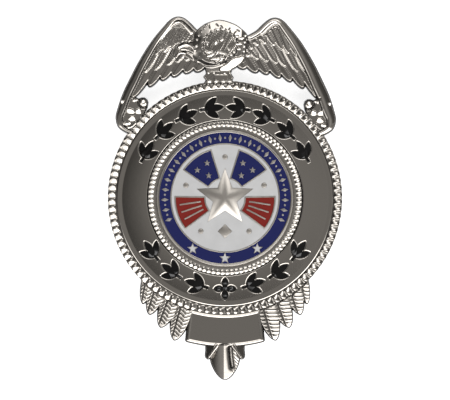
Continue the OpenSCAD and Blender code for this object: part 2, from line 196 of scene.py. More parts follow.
def make_object(name: str, bm: bmesh.types.BMesh, material: bpy.types.Material, nodes: list[str],
                crease: float = 40, reach: float = 0.12, walls: float = 0.9) -> None:
    """Turns a bmesh in millimetres above the back of the rim into a piece that rides on the badge.

    Args:
        name: The piece's name.
        bm: The bmesh, which is freed.
        material: Its finish.
        nodes: The CAD nodes that it stands for.
        crease: Angle in degrees over which an edge stays sharp.
        reach: Radius in millimetres of the hollows that get painted shade.
        walls: Share of painted shade, standing in for a dark reflection, on upright walls.
    """
    lift = Matrix.Scale(METRES, 4) @ Matrix.Translation((0, 0, PIN_DROP))
    bmesh.ops.transform(bm, matrix=lift, verts=bm.verts)
    mesh = bpy.data.meshes.new(name)
    bm.to_mesh(mesh)
    bm.free()
    mesh.materials.append(material)
    mesh.shade_smooth()
    mesh.set_sharp_from_angle(angle=math.radians(crease))
    # Paints shade into the hollows and a dark reflection onto the walls
    mark_painted_shade(mesh, reach, walls)
    piece = bpy.data.objects.new(name, mesh)
    bpy.context.scene.collection.objects.link(piece)
    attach(piece, "root")
    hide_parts(*nodes)
    log.info("%s: %d triangles", name, sum(len(p.vertices) - 2 for p in mesh.polygons))


def cad_copy(node: str) -> bmesh.types.BMesh:
    """Copies a CAD node's mesh, in millimetres above the back of the rim, and merges its loose triangles.

    Args:
        node: The node's name.

    Returns:
        The copy.
    """
    bm = bmesh.new()
    bm.from_mesh(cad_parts[node].data)
    bmesh.ops.transform(bm, matrix=Matrix.Scale(1 / METRES, 4), verts=bm.verts)
    bmesh.ops.translate(bm, verts=bm.verts, vec=(0, 0, -PIN_DROP))
    bmesh.ops.remove_doubles(bm, verts=bm.verts, dist=MERGE)
    return bm


def spin_ring(bm: bmesh.types.BMesh, section: list, steps: int) -> None:
    """Spins a section round the middle of the badge: one sector is spun, and is then doubled to a full ring.

    Args:
        bm: The bmesh.
        section: The vertices and edges of the section, in the XZ plane.
        steps: Steps in the full ring, a multiple of 16.
    """
    doublings = 4
    sector = 2 * math.pi / 2 ** doublings
    bmesh.ops.spin(bm, geom=section, cent=(0, 0, 0), axis=(0, 0, 1), dvec=(0, 0, 0), angle=sector,
                   steps=steps // 2 ** doublings, use_merge=False, use_duplicate=False)
    for i in range(doublings):
        made = bmesh.ops.duplicate(bm, geom=bm.verts[:] + bm.edges[:] + bm.faces[:])["geom"]
        turned = [g for g in made if isinstance(g, bmesh.types.BMVert)]
        bmesh.ops.rotate(bm, verts=turned, cent=(0, 0, 0), matrix=Matrix.Rotation(sector * 2 ** i, 3, "Z"))
    bmesh.ops.remove_doubles(bm, verts=bm.verts, dist=1e-4)
    bmesh.ops.recalc_face_normals(bm, faces=bm.faces)


@dataclass(frozen=True)
class Feather:
    """The form of a struck feather: domed across, rounded at its tip, with a shaft and fine barbs.

    Low is the surface that it lies on, top its middle at the tip, and dome the drop from its
    middle to its sides. It rises from root to tip, and falls over the end of its tip.
    """

    width: float
    low: float
    top: float
    dome: float
    shaft: float = 0.0
    barbs: float = 0.0
    rise: float = 0.0
    fall: float = 0.0
    shaft_half: float = 0.13
    barb_pitch: float = 0.46
    barb_slant: float = 1.1
    barb_start: float = 0.25
    end: float = 1.3
    edge_slope: float = 3.5
    tip_power: int = 5


class Relief:
    """A struck surface: a fine grid whose heights are worked out before it is cut to its outline."""

    # How steeply pearls and strokes lean towards the foot of the badge
    lean: float = 0.36
    # Drop from the middle to the edge of a pearl and of a stroke
    pearl_fall: float = 0.04
    stroke_fall: float = 0.05
    # Height of the cut, under which the wall is upright, and the least height over it
    base: float = 0.4
    least: float = 0.1
    # Width of the steep wall over the cut, its share of the height, and the grid's slope outside it
    wall: float = 0.1
    shoulder: float = 0.75
    outer_slope: float = 14
    # Points of the cut surface that are nearer to each other are one
    weld: float = 0.012

    def __init__(self, low: Point, high: Point, cell: float) -> None:
        """Lays out the grid.

        Args:
            low: Lower left corner.
            high: Upper right corner.
            cell: Side of a cell.
        """
        size = (high[0] - low[0], high[1] - low[1])
        middle = ((high[0] + low[0]) / 2, (high[1] + low[1]) / 2)
        self.bm = bmesh.new()
        place = Matrix.Translation((*middle, 0)) @ Matrix.Diagonal((*size, 1, 1))
        bmesh.ops.create_grid(self.bm, x_segments=round(size[0] / cell), y_segments=round(size[1] / cell),
                              size=0.5, matrix=place)
        at = np.array([v.co[:2] for v in self.bm.verts])
        self.x, self.y = at[:, 0], at[:, 1]
        self.z = np.full(len(at), NOWHERE)

    def to_segment(self, start: Point, end: Point) -> tuple[np.ndarray, np.ndarray]:
        """Measures how far each grid point is from a straight line, and where on it the nearest point is.

        Args:
            start: Start of the line.
            end: End of the line.

        Returns:
            The distances, and the places as a share of the line.
        """
        (ax, ay), (bx, by) = start, end
        ex, ey = bx - ax, by - ay
        t = np.clip(((self.x - ax) * ex + (self.y - ay) * ey) / max(ex * ex + ey * ey, 1e-9), 0, 1)
        return np.hypot(self.x - ax - t * ex, self.y - ay - t * ey), t

    def to_outline(self, points: list[Point]) -> np.ndarray:
        """Measures how far each grid point is from a closed outline.

        Args:
            points: The outline.

        Returns:
            The distances, negative inside.
        """
        far = np.full(len(self.x), FARAWAY)
        inside = np.zeros(len(self.x), bool)
        for (ax, ay), (bx, by) in zip(points, points[1:] + points[:1]):
            far = np.minimum(far, self.to_segment((ax, ay), (bx, by))[0])
            ex, ey = bx - ax, by - ay
            if abs(ey) > 1e-9:
                inside ^= ((ay > self.y) != (by > self.y)) & (self.x < ax + (self.y - ay) * ex / ey)
        return np.where(inside, -far, far)

    def to_path(self, points: list[Point]) -> tuple[np.ndarray, np.ndarray]:
        """Measures how far each grid point is from an open path, and where on it the nearest point is.

        Args:
            points: The path.

        Returns:
            The distances, and the places as a share of the path's length.
        """
        far = np.full(len(self.x), FARAWAY)
        share = np.zeros(len(self.x))
        for i, (start, end) in enumerate(zip(points, points[1:])):
            here, t = self.to_segment(start, end)
            near = here < far
            far = np.where(near, here, far)
            share = np.where(near, (i + t) / (len(points) - 1), share)
        return far, share

    def along(self, root: Point, tip: Point) -> tuple[np.ndarray, np.ndarray, float]:
        """Gives each grid point's place along and across a line.

        Args:
            root: Start of the line.
            tip: End of the line.

        Returns:
            Distance along the line, distance to its left, and the line's length.
        """
        length = math.hypot(tip[0] - root[0], tip[1] - root[1])
        c, s = (tip[0] - root[0]) / length, (tip[1] - root[1]) / length
        dx, dy = self.x - root[0], self.y - root[1]
        return dx * c + dy * s, dy * c - dx * s, length

    def in_oval(self, at: Point, size: Point, turn: float) -> np.ndarray:
        """Measures how far out in an oval each grid point is.

        Args:
            at: Its middle.
            size: Its half length and half width.
            turn: Its direction in degrees.

        Returns:
            0 in its middle, 1 on its edge, and the square of the distance between and beyond.
        """
        c, s = math.cos(math.radians(turn)), math.sin(math.radians(turn))
        dx, dy = self.x - at[0], self.y - at[1]
        return ((dx * c + dy * s) / size[0]) ** 2 + ((dy * c - dx * s) / size[1]) ** 2

    def raise_to(self, heights: np.ndarray) -> None:
        """Raises the surface to the given heights where they are higher."""
        self.z = np.maximum(self.z, heights)

    def groove(self, points: list[Point], depth: float, half: float) -> None:
        """Presses a soft groove into the surface along a path.

        Args:
            points: The path.
            depth: Its depth.
            half: Distance from its middle at which it has a third of its depth left.
        """
        far, _ = self.to_path(points)
        self.z -= depth * np.exp(-(far / half) ** 2)

    def bump(self, at: Point, size: Point, turn: float, rise: float) -> None:
        """Adds a soft oval bump to the surface.

        Args:
            at: Its middle.
            size: Its half length and half width.
            turn: Its direction in degrees.
            rise: Its height, negative for a dent.
        """
        far = self.in_oval(at, size, turn)
        self.z = np.where(far < 1, self.z + rise * (1 - far) ** 2 * (1 + 0.5 * far), self.z)

    def pearl(self, at: Point, size: Point, turn: float, rise: float = 0.08) -> None:
        """Raises a flat oval pearl with an upright edge over the surface.

        Args:
            at: Its middle.
            size: Its half length and half width.
            turn: Its direction in degrees.
            rise: How far its middle stands over the surface there.
        """
        far = self.in_oval(at, size, turn)
        top = self.z[np.argmin(far)] + rise
        height = top - self.pearl_fall * far + self.lean * (self.y - at[1])
        self.raise_to(np.where(far < 1, height, NOWHERE))

    def stroke(self, points: list[Point], width: Point, top: float, lean: float = lean) -> None:
        """Raises a flat-topped stroke along a path, whose top leans towards the foot of the badge.

        Args:
            points: The path.
            width: Its width at the start and at the end.
            top: Height of the middle of its top.
            lean: How steeply its top leans.
        """
        path = smooth_curve(points, 5)
        far, share = self.to_path(path)
        half = (width[0] + (width[1] - width[0]) * share) / 2
        middle = np.interp(share, np.linspace(0, 1, len(path)), [y for _, y in path])
        height = top + lean * (self.y - middle) - self.stroke_fall * (far / half) ** 4
        self.raise_to(np.where(far < half, height, NOWHERE))

    def blade(self, root: Point, tip: Point, form: Feather, bow: float) -> np.ndarray:
        """Raises a feather.

        Args:
            root: Where it starts.
            tip: Where it ends.
            form: Its form.
            bow: Power of the dome: 2 bows it evenly, more keeps its middle flat.

        Returns:
            The distance inside its edge, negative outside.
        """
        s, t, length = self.along(root, tip)
        u = np.clip(s / length, 0, PAST_TIP)
        across = 2 * t / form.width
        power = form.tip_power
        field = 1 - u ** power - across ** 2
        slope = np.sqrt((power * u ** (power - 1) / length) ** 2 + (4 * across / form.width) ** 2) + 1e-6
        inside = np.minimum(field / slope, form.width / 2)
        height = form.top - form.dome * np.abs(across) ** bow - form.rise * (1 - u)
        height += form.shaft * np.exp(-(t / form.shaft_half) ** 2)
        height -= form.fall * np.clip((s - length + form.end) / form.end, 0, 1) ** 2
        barbs = form.barbs * np.sin(2 * math.pi * (s - form.barb_slant * np.abs(t)) / form.barb_pitch)
        height += barbs * np.clip(np.abs(t) / form.barb_start, 0, 1)
        height = np.minimum(height, form.low + form.edge_slope * inside)
        self.raise_to(np.where((s > 0) & (inside > 0), height, NOWHERE))
        return np.where(s > 0, inside, NOWHERE)

    def cut(self, inside: np.ndarray, edge: float = 0.36) -> bmesh.types.BMesh:
        """Cuts the surface to an outline with a rounded edge, and closes it with walls and a flat back.

        Args:
            inside: Distance inside the outline, negative outside.
            edge: Width of the wall and of the rounding over it.

        Returns:
            The closed bmesh.
        """
        bm = self.bm
        share = np.clip((inside - self.wall) / (edge - self.wall), 0, 1)
        rounded = self.shoulder + (1 - self.shoulder) * np.sin(math.pi / 2 * share)
        rounded = rounded * np.clip(inside / self.wall, 0, 1)
        rounded = self.base + (np.maximum(self.z, self.base + self.least) - self.base) * rounded
        heights = np.where(inside > 0, rounded, self.base + self.outer_slope * np.maximum(inside, -1))
        for vert, z in zip(bm.verts, heights):
            vert.co.z = z
        everything = bm.verts[:] + bm.edges[:] + bm.faces[:]
        bmesh.ops.bisect_plane(bm, geom=everything, dist=1e-5, plane_co=(0, 0, self.base), plane_no=(0, 0, 1),
                               clear_inner=True)
        bmesh.ops.remove_doubles(bm, verts=bm.verts, dist=self.weld)
        rim = [e for e in bm.edges if e.is_boundary]
        made = bmesh.ops.extrude_edge_only(bm, edges=rim)["geom"]
        feet = {g for g in made if isinstance(g, bmesh.types.BMVert)}
        for vert in feet:
            vert.co.z = 0
        bottom = [e for e in bm.edges if e.is_boundary and e.verts[0] in feet and e.verts[1] in feet]
        bmesh.ops.triangle_fill(bm, use_beauty=True, edges=bottom)
        bmesh.ops.recalc_face_normals(bm, faces=bm.faces)
        return bm


class Carving:
    """A piece of the shield that is carved from one relief."""

    name: str
    crease: float

    def carve(self) -> bmesh.types.BMesh:
        """Carves the piece and gives its closed bmesh."""
        raise NotImplementedError

    def make(self, material: bpy.types.Material) -> None:
        """Makes the piece.

        Args:
            material: The plate.
        """
        make_object(self.name, self.carve(), material, ["shield"], crease=self.crease)


def mirrored(bm: bmesh.types.BMesh) -> bmesh.types.BMesh:
    """Copies a bmesh to the other side of the badge.

    Args:
        bm: The bmesh of the right side, which stays.

    Returns:
        The left side's bmesh, with its faces pointing out.
    """
    twin = bm.copy()
    bmesh.ops.transform(twin, matrix=Matrix.Scale(-1, 4, (1, 0, 0)), verts=twin.verts)
    bmesh.ops.reverse_faces(twin, faces=twin.faces)
    return twin


class EnamelColour(Enum):
    """The enamels of the badge, as sRGB colours."""

    BLUE = "1c2258"
    RED = "7f231c"
    WHITE = "cdcdcd"
    BLACK = "0b0a0a"


def start_material(name: str, slot: str) -> tuple[bpy.types.Material, bpy.types.NodeTree,
                                                 bpy.types.Node, bpy.types.NodeSocket]:
    """Makes a plain material, for its finish to be set.

    Args:
        name: The material's name.
        slot: The slot of the record that it fills.

    Returns:
        The material, its node tree, its shader, and the Object coordinates that its patterns follow.
    """
    material = bpy.data.materials.new(name)
    material["slot"] = slot
    material.use_nodes = True
    tree = material.node_tree
    place = add_node(tree, "ShaderNodeTexCoord").outputs["Object"]
    return material, tree, tree.nodes["Principled BSDF"], place


@dataclass(frozen=True)
class PolishedNickel:
    """Bright nickel plate over struck brass: a warm grey mirror with a faint orange peel, and
    dull dark painted shade in patches in its recesses, and a painted dark reflection on its outer walls."""

    colour: str = "c9c3bb"
    # Colour of the painted shade in recesses and of the painted dark reflection on walls
    painted_shade: str = "1f1d1c"
    roughness: float = 0.09
    dull: float = 0.38
    patch_mm: float = 2.5
    patchy: float = 0.3
    fully_dark: float = 0.7
    peel_mm: float = 0.9
    peel_height_mm: float = 0.004
    # Gloss of the dull film where shade is painted
    painted_shade_gloss: float = 0.15
    name: str = "polished_nickel"
    slot: str = "polished_nickel"

    def make(self) -> bpy.types.Material:
        """Makes the material.

        Returns:
            The material.
        """
        material, tree, shader, place = start_material(self.name, self.slot)
        shader.inputs["Specular IOR Level"].default_value = self.painted_shade_gloss
        # Painted shade from the vertex attribute, broken into patches by noise, turns the mirror into a dull
        # dark film
        dark = add_node(tree, "ShaderNodeAttribute", attribute_name="painted_shade").outputs["Fac"]
        patch = add_node(tree, "ShaderNodeTexNoise",
                         {"Vector": place, "Scale": 1 / (self.patch_mm * METRES), "Detail": 3.0})
        edge = add_node(tree, "ShaderNodeMath", {0: patch.outputs["Fac"], 1: self.patchy},
                        operation="MULTIPLY")
        deep = add_node(tree, "ShaderNodeMath", {0: dark, 1: edge.outputs[0]}, operation="SUBTRACT")
        share = add_node(tree, "ShaderNodeMapRange", {"Value": deep.outputs[0], "From Min": 0.0,
                                                      "From Max": self.fully_dark}).outputs["Result"]
        mixed = add_node(tree, "ShaderNodeMix",
                         {"Factor": share, 6: linear(self.colour), 7: linear(self.painted_shade)},
                         data_type="RGBA")
        tree.links.new(mixed.outputs[2], shader.inputs["Base Color"])
        bare = add_node(tree, "ShaderNodeMath", {0: 1.0, 1: share}, operation="SUBTRACT")
        tree.links.new(bare.outputs[0], shader.inputs["Metallic"])
        rough = add_node(tree, "ShaderNodeMapRange",
                         {"Value": share, "To Min": self.roughness, "To Max": self.dull}).outputs["Result"]
        tree.links.new(rough, shader.inputs["Roughness"])
        peel = add_node(tree, "ShaderNodeTexNoise",
                        {"Vector": place, "Scale": 1 / (self.peel_mm * METRES), "Detail": 2.0})
        bump = add_node(tree, "ShaderNodeBump", {"Height": peel.outputs["Fac"], "Strength": 1.0,
                                                 "Distance": self.peel_height_mm * METRES})
        tree.links.new(bump.outputs["Normal"], shader.inputs["Normal"])
        return material


@dataclass(frozen=True)
class HardEnamel:
    """Fired glass enamel, ground down and polished: a deep even colour under a wet gloss, with
    faint clouding of the colour and a faint wave in its surface."""

    name: str
    colour: EnamelColour
    ior: float = 1.52
    roughness: float = 0.12
    cloud_mm: float = 3.0
    cloud: float = 0.12
    wave_height_mm: float = 0.01

    def make(self) -> bpy.types.Material:
        """Makes the material.

        Returns:
            The material.
        """
        material, tree, shader, place = start_material(self.name, self.name)
        shader.inputs["IOR"].default_value = self.ior
        shader.inputs["Roughness"].default_value = self.roughness
        cloud = add_node(tree, "ShaderNodeTexNoise",
                         {"Vector": place, "Scale": 1 / (self.cloud_mm * METRES), "Detail": 4.0})
        level = add_node(tree, "ShaderNodeMapRange",
                         {"Value": cloud.outputs["Fac"], "To Min": 1 - self.cloud, "To Max": 1 + self.cloud})
        tint = add_node(tree, "ShaderNodeVectorMath",
                        {0: linear(self.colour.value)[:3], "Scale": level.outputs[0]}, operation="SCALE")
        tree.links.new(tint.outputs[0], shader.inputs["Base Color"])
        bump = add_node(tree, "ShaderNodeBump", {"Height": cloud.outputs["Fac"], "Strength": 1.0,
                                                 "Distance": self.wave_height_mm * METRES})
        tree.links.new(bump.outputs["Normal"], shader.inputs["Normal"])
        return material


@dataclass(frozen=True)
class NickelledSteel:
    """Drawn steel wire and stamped strip under thin nickel: satin, with drawing lines along it."""

    colour: str = "b9b6b1"
    smoothest: float = 0.2
    roughest: float = 0.38
    line_mm: float = 0.12
    line_stretch: float = 0.02
    line_height_mm: float = 0.01
    name: str = "pin_steel"

    def make(self) -> bpy.types.Material:
        """Makes the material.

        Returns:
            The material.
        """
        material, tree, shader, place = start_material(self.name, self.name)
        shader.inputs["Metallic"].default_value = 1.0
        shader.inputs["Base Color"].default_value = linear(self.colour)
        drawn = add_node(tree, "ShaderNodeMapping", {"Vector": place, "Scale": (self.line_stretch, 1.0, 1.0)})
        lines = add_node(tree, "ShaderNodeTexNoise",
                         {"Vector": drawn.outputs[0], "Scale": 1 / (self.line_mm * METRES), "Detail": 2.0})
        rough = add_node(tree, "ShaderNodeMapRange",
                         {"Value": lines.outputs["Fac"], "To Min": self.smoothest, "To Max": self.roughest})
        tree.links.new(rough.outputs[0], shader.inputs["Roughness"])
        bump = add_node(tree, "ShaderNodeBump", {"Height": lines.outputs["Fac"], "Strength": 0.6,
                                                 "Distance": self.line_height_mm * METRES})
        tree.links.new(bump.outputs["Normal"], shader.inputs["Normal"])
        return material


@dataclass(frozen=True)
class StudioPaper:
    """Matt white paper over a light table: flat and pale, with a faint grain and a little glow."""

    colour: str = "f4f4f4"
    roughness: float = 0.9
    glow: float = 0.8
    grain_mm: float = 0.5
    grain_height_mm: float = 0.02
    name: str = "studio_paper"

    def make(self) -> bpy.types.Material:
        """Makes the material.

        Returns:
            The material.
        """
        material, tree, shader, place = start_material(self.name, self.name)
        shader.inputs["Base Color"].default_value = linear(self.colour)
        shader.inputs["Roughness"].default_value = self.roughness
        shader.inputs["Emission Color"].default_value = (1.0, 1.0, 1.0, 1.0)
        shader.inputs["Emission Strength"].default_value = self.glow
        grain = add_node(tree, "ShaderNodeTexNoise", {"Vector": place, "Scale": 1 / (self.grain_mm * METRES)})
        bump = add_node(tree, "ShaderNodeBump", {"Height": grain.outputs["Fac"], "Strength": 0.2,
                                                 "Distance": self.grain_height_mm * METRES})
        tree.links.new(bump.outputs["Normal"], shader.inputs["Normal"])
        return material


@dataclass
class LaurelSprigs:
    """The black enamel sprigs that are let into the band, in the CAD's places."""

    above: int = 8
    below: int = 7
    pitch_above: float = 17.0
    pitch_below: float = 18.0
    leaf: Point = (3.5, 1.35)
    stem: Point = (0.44, 1.5)
    stem_foot: float = -2.5
    # Direction in degrees and foot of each leaf of a sprig, from the middle of the band
    leaves: tuple[Point, ...] = ((52, -1.5), (90, -0.9), (128, -1.5))
    rosette_leaf: Point = (2.2, 1.3)
    rosette_turns: tuple[float, ...] = (0, 90, 180, 270)
    rosette_start: float = 0.2
    berry: float = 0.6
    sunk: float = 0.17
    flare: float = 0.2
    depth: float = 0.4
    # How far a sprig reaches from its middle
    reach: float = 4.0
    # Width of a pocket's wall, and the share of it that is outside the outline
    wall: float = 0.08
    wall_outside: float = 0.3

    def angles(self) -> list[float]:
        """Gives the angle of each sprig round the shield, in degrees.

        Returns:
            The angles, in the order of the CAD nodes.
        """
        top = [90 + (i - (self.above - 1) / 2) * self.pitch_above for i in range(self.above)]
        return top + [270 + (i - (self.below - 1) / 2) * self.pitch_below for i in range(self.below)]

    def leaf_distance(self, x: np.ndarray, y: np.ndarray, length: float, width: float) -> np.ndarray:
        """Measures the distance to a leaf that lies along +X from the origin.

        Args:
            x: Places along the leaf.
            y: Places across it.
            length: The leaf's length.
            width: Its width.

        Returns:
            The distances, negative inside.
        """
        arc = (length ** 2 + width ** 2) / (4 * width)
        up = np.hypot(x - length / 2, y - arc + width / 2)
        down = np.hypot(x - length / 2, y + arc - width / 2)
        return np.maximum(up, down) - arc

    def distance(self, angle: float, x: np.ndarray, y: np.ndarray) -> np.ndarray:
        """Measures the distance to one sprig's outline, in its own place on the band.

        Args:
            angle: The sprig's angle round the shield.
            x: Places across the sprig.
            y: Places along it.

        Returns:
            The distances, negative inside.
        """
        far = np.full(len(x), FARAWAY)
        rosette = angle == 270
        if rosette:
            size, start = self.rosette_leaf, self.rosette_start
            leaves = [(turn, 0.0) for turn in self.rosette_turns]
        else:
            size, start, leaves = self.leaf, 0.0, self.leaves
        for turn, foot in leaves:
            c, s = math.cos(math.radians(turn)), math.sin(math.radians(turn))
            along = x * c + (y - foot) * s - start
            across = (y - foot) * c - x * s
            far = np.minimum(far, self.leaf_distance(along, across, *size))
        if rosette:
            return np.minimum(far, np.hypot(x, y) - self.berry)
        half = self.stem[1] / 2
        box = np.maximum(np.abs(x) - self.stem[0] / 2, np.abs(y - self.stem_foot - half) - half)
        return np.minimum(far, box)

    def make(self, band: "RoundShield", material: bpy.types.Material) -> None:
        """Makes the sprigs from their CAD nodes, each ground down to lie below the band.

        Args:
            band: The round shield that carries them.
            material: Black enamel.
        """
        for i, angle in enumerate(self.angles(), 1):
            node = f"sprig_{i}"
            bm = cad_copy(node)
            spin = Matrix.Rotation(math.radians(angle), 4, "Z")
            up = spin @ Matrix.Rotation(math.radians(band.slope()), 4, "Y") @ Vector((0, 0, 1, 0))
            middle = spin @ Vector((band.middle(), 0, band.band_height(band.middle()), 1))
            plane = middle.xyz - up.xyz * self.sunk
            geometry = bm.verts[:] + bm.edges[:] + bm.faces[:]
            made = bmesh.ops.bisect_plane(bm, geom=geometry, dist=1e-4, plane_co=plane, plane_no=up.xyz,
                                          clear_outer=True)["geom_cut"]
            rim = [g for g in made if isinstance(g, bmesh.types.BMEdge)]
            bmesh.ops.triangle_fill(bm, use_beauty=True, edges=rim)
            bmesh.ops.recalc_face_normals(bm, faces=bm.faces)
            make_object(f"{node}_enamel", bm, material, [node], walls=0)


@dataclass
class RoundShield:
    """The round body: hollow back, sloping band with its pockets, and a lip on each side of it."""

    rim_inner: float = 22.3
    rim_back: float = 25.2
    hollow: float = 1.2
    hollow_r: float = 15.85
    band_outer: float = 22.4
    band_inner: float = 17.0
    band_z: float = 2.75
    band_drop: float = 0.6
    band_bow: float = 0.06
    band_edge: float = 17.1
    # The lips: how far each point of their sections is past the band's edge, and over it
    lip: tuple[Point, ...] = ((0.2, 0.012), (0.5, 0.03), (0.88, 0.045), (0.93, 0.042), (0.97, 0.025),
                              (1.26, -0.135), (1.3, -0.19), (1.33, -0.3), (1.35, -0.48))
    bevel: tuple[Point, ...] = ((0.12, -0.03), (0.25, -0.08), (0.38, -0.14), (0.48, -0.22), (0.54, -0.4))
    channel_z: float = 3.1
    seat_r: float = 14.85
    seat_z: float = 2.3
    steps: int = 1024
    fine: float = 0.125
    # The pockets stay this far inside the band, and above this height, which only the face is over
    margin: float = 0.1
    face_over: float = 2.0

    def middle(self) -> float:
        """Gives the radius of the middle of the band."""
        return (self.band_outer + self.band_inner) / 2

    def slope(self) -> float:
        """Gives the band's slope outwards, in degrees."""
        return math.degrees(math.atan(self.band_drop / (self.band_outer - self.band_inner)))

    def band_height(self, r: float) -> float:
        """Gives the height of the band at a radius: a slope, bowed up a little in its middle."""
        share = (r - self.band_inner) / (self.band_outer - self.band_inner)
        return self.band_z - self.band_drop * share + 4 * self.band_bow * share * (1 - share)

    def profile(self) -> list[Point]:
        """Gives the section of the shield, from the middle of its back out and over to the seat.

        Returns:
            Radius and height of each point.
        """
        edge_z = self.band_z - self.band_drop
        out = [(0.0, self.hollow), (self.hollow_r, self.hollow), (self.rim_inner - 0.15, 0.07),
               (self.rim_inner + 0.1, 0.0), (self.rim_back - 0.15, 0.0), (self.rim_back, 0.12),
               (self.rim_back, 1.2), (24.4, 1.4), (23.8, 1.5)]
        out += [(self.band_outer + along, edge_z + up) for along, up in reversed(self.lip)]
        count = round((self.band_outer - self.band_edge) / self.fine)
        for i in range(count + 1):
            r = self.band_outer - (self.band_outer - self.band_edge) * i / count
            out.append((r, self.band_height(r)))
        top = self.band_height(self.band_edge)
        out += [(self.band_edge - along, top + up) for along, up in self.bevel]
        return out + [(16.3, 2.3), (15.5, 2.5), (15.42, self.channel_z), (self.seat_r + 0.06, self.channel_z),
                      (self.seat_r, self.channel_z - 0.06), (self.seat_r, self.seat_z), (0.0, self.seat_z)]

    def make(self, sprigs: LaurelSprigs, material: bpy.types.Material) -> None:
        """Spins the section into the shield and sinks the pockets of the sprigs into its band.

        Args:
            sprigs: The sprigs that lie in the pockets.
            material: The plate.
        """
        bm = bmesh.new()
        verts = [bm.verts.new((r, 0, z)) for r, z in self.profile()]
        edges = [bm.edges.new(pair) for pair in zip(verts, verts[1:])]
        spin_ring(bm, verts + edges, self.steps)
        inner, outer = self.band_inner + self.margin, self.band_outer - self.margin
        band = [v for v in bm.verts if inner < math.hypot(v.co.x, v.co.y) < outer and v.co.z > self.face_over]
        at = np.array([v.co[:] for v in band])
        drop = np.zeros(len(band))
        for angle in sprigs.angles():
            c, s = math.cos(math.radians(angle)), math.sin(math.radians(angle))
            x = at[:, 0] * c + at[:, 1] * s - self.middle()
            y = at[:, 1] * c - at[:, 0] * s
            near = np.hypot(x, y) < sprigs.reach
            turned = 90 < angle < 270
            sx, sy = (-x[near], -y[near]) if turned else (x[near], y[near])
            far = sprigs.distance(angle, sx, sy)
            flare = sprigs.sunk * np.clip(1 - far / sprigs.flare, 0, 1)
            deep = (sprigs.depth - sprigs.sunk) * np.clip(-far / sprigs.wall + sprigs.wall_outside, 0, 1)
            drop[near] = np.maximum(drop[near], flare + deep)
        for vert, down in zip(band, drop):
            vert.co.z -= down
        make_object("shield_body", bm, material, ["shield"], crease=35, walls=0.75)


@dataclass
class Rope:
    """A rope border: a ring of strands that each rise steeply from a groove and fall gently to the next.

    Crest and top are the radius and height of its highest line. Inner and outer are its widths to
    either side of that, and the falls are the drops across them. Steep is the share of a strand
    that rises, and lay is how far it slants. The grooves fade towards either side.
    """

    name: str
    crest: float
    top: float
    inner: float
    outer: float
    inner_fall: float
    outer_fall: float
    groove: float
    strands: int
    around: int
    per_strand: int = 12
    steep: float = 0.4
    lay: float = 0.35
    inner_fade: float = 3.0
    outer_fade: float = 0.8
    nick: float = 0.06
    depth: float = 0.6

    def make(self, material: bpy.types.Material) -> None:
        """Spins a circle into a ring, then bows its top and pushes its surface in at the grooves.

        Args:
            material: The plate.
        """
        bm = bmesh.new()
        upright = Matrix.Translation((self.crest, 0, 0)) @ Matrix.Rotation(math.pi / 2, 4, "X")
        made = bmesh.ops.create_circle(bm, segments=self.around, radius=0.5, matrix=upright)["verts"]
        spin_ring(bm, made + bm.edges[:], self.strands * self.per_strand)
        for vert in bm.verts:
            theta = math.atan2(vert.co.y, vert.co.x)
            phi = math.atan2(vert.co.z, math.hypot(vert.co.x, vert.co.y) - self.crest)
            lay = self.lay if phi > 0 else 2 - self.lay
            place = (self.strands * theta + lay * phi) / (2 * math.pi) % 1
            if place < self.steep:
                down = (1 + math.cos(math.pi * place / self.steep)) / 2
            else:
                past = (place - self.steep) / (1 - self.steep)
                down = (past + past ** 2) / 2
            across, up = math.cos(phi), math.sin(phi)
            half, fall = (self.outer, self.outer_fall) if across > 0 else (self.inner, self.inner_fall)
            r = self.crest + (half - self.nick * down) * across
            z = self.top - fall * across ** 2
            fade = self.outer_fade if across > 0 else self.inner_fade
            z += self.depth * up if up < 0 else -self.groove * down * up ** fade
            vert.co = (r * math.cos(theta), r * math.sin(theta), z)
        make_object(self.name, bm, material, ["shield"], crease=70, reach=0.2)


@dataclass
class Seal:
    """The struck disc in the middle: walls between the enamels, small marks and the faceted star."""

    wall_z: float = 3.5
    wall_tolerance: float = 0.01
    rounding: float = 0.08
    # Faces that meet at less than the first angle are one face, and edges over the second are rounded
    flat_deg: float = 2
    sharp_deg: float = 50
    rim_steps: int = 512
    # Radius and height of the points of the rim's section
    rim_section: tuple[Point, ...] = ((14.22, 3.2), (14.22, 3.48), (14.26, 3.52), (14.36, 3.52), (14.46, 3.5),
                                      (14.6, 3.455), (14.74, 3.4), (14.82, 3.36), (14.84, 3.3), (14.84, 3.0),
                                      (14.5, 3.0))

    def make(self, material: bpy.types.Material) -> None:
        """Rounds the edges of the walls and of the star on a copy of the CAD's disc.

        Args:
            material: The plate.
        """
        bm = cad_copy("seal_disc")
        bmesh.ops.dissolve_limit(bm, angle_limit=math.radians(self.flat_deg), verts=bm.verts, edges=bm.edges)
        bm.normal_update()
        sharp, low = math.radians(self.sharp_deg), self.wall_z - self.wall_tolerance
        rims = [e for e in bm.edges if len(e.link_faces) == 2 and e.calc_face_angle() > sharp
                and min(v.co.z for v in e.verts) > low]
        bmesh.ops.bevel(bm, geom=rims, affect="EDGES", offset=self.rounding, segments=2, profile=0.5,
                        material=-1, clamp_overlap=True)
        bmesh.ops.triangulate(bm, faces=[f for f in bm.faces if len(f.verts) > 4])
        make_object("seal_plate", bm, material, ["seal_disc"], crease=32, walls=0.5)

    def rim(self, material: bpy.types.Material) -> None:
        """Lays a smooth rim, flat inside and falling outwards, round the edge of the disc.

        Args:
            material: The plate.
        """
        bm = bmesh.new()
        verts = [bm.verts.new((r, 0, z)) for r, z in self.rim_section]
        edges = [bm.edges.new(pair) for pair in zip(verts, verts[1:] + verts[:1])]
        spin_ring(bm, verts + edges, self.rim_steps)
        make_object("seal_rim", bm, material, ["seal_disc"], crease=50, walls=0.3)


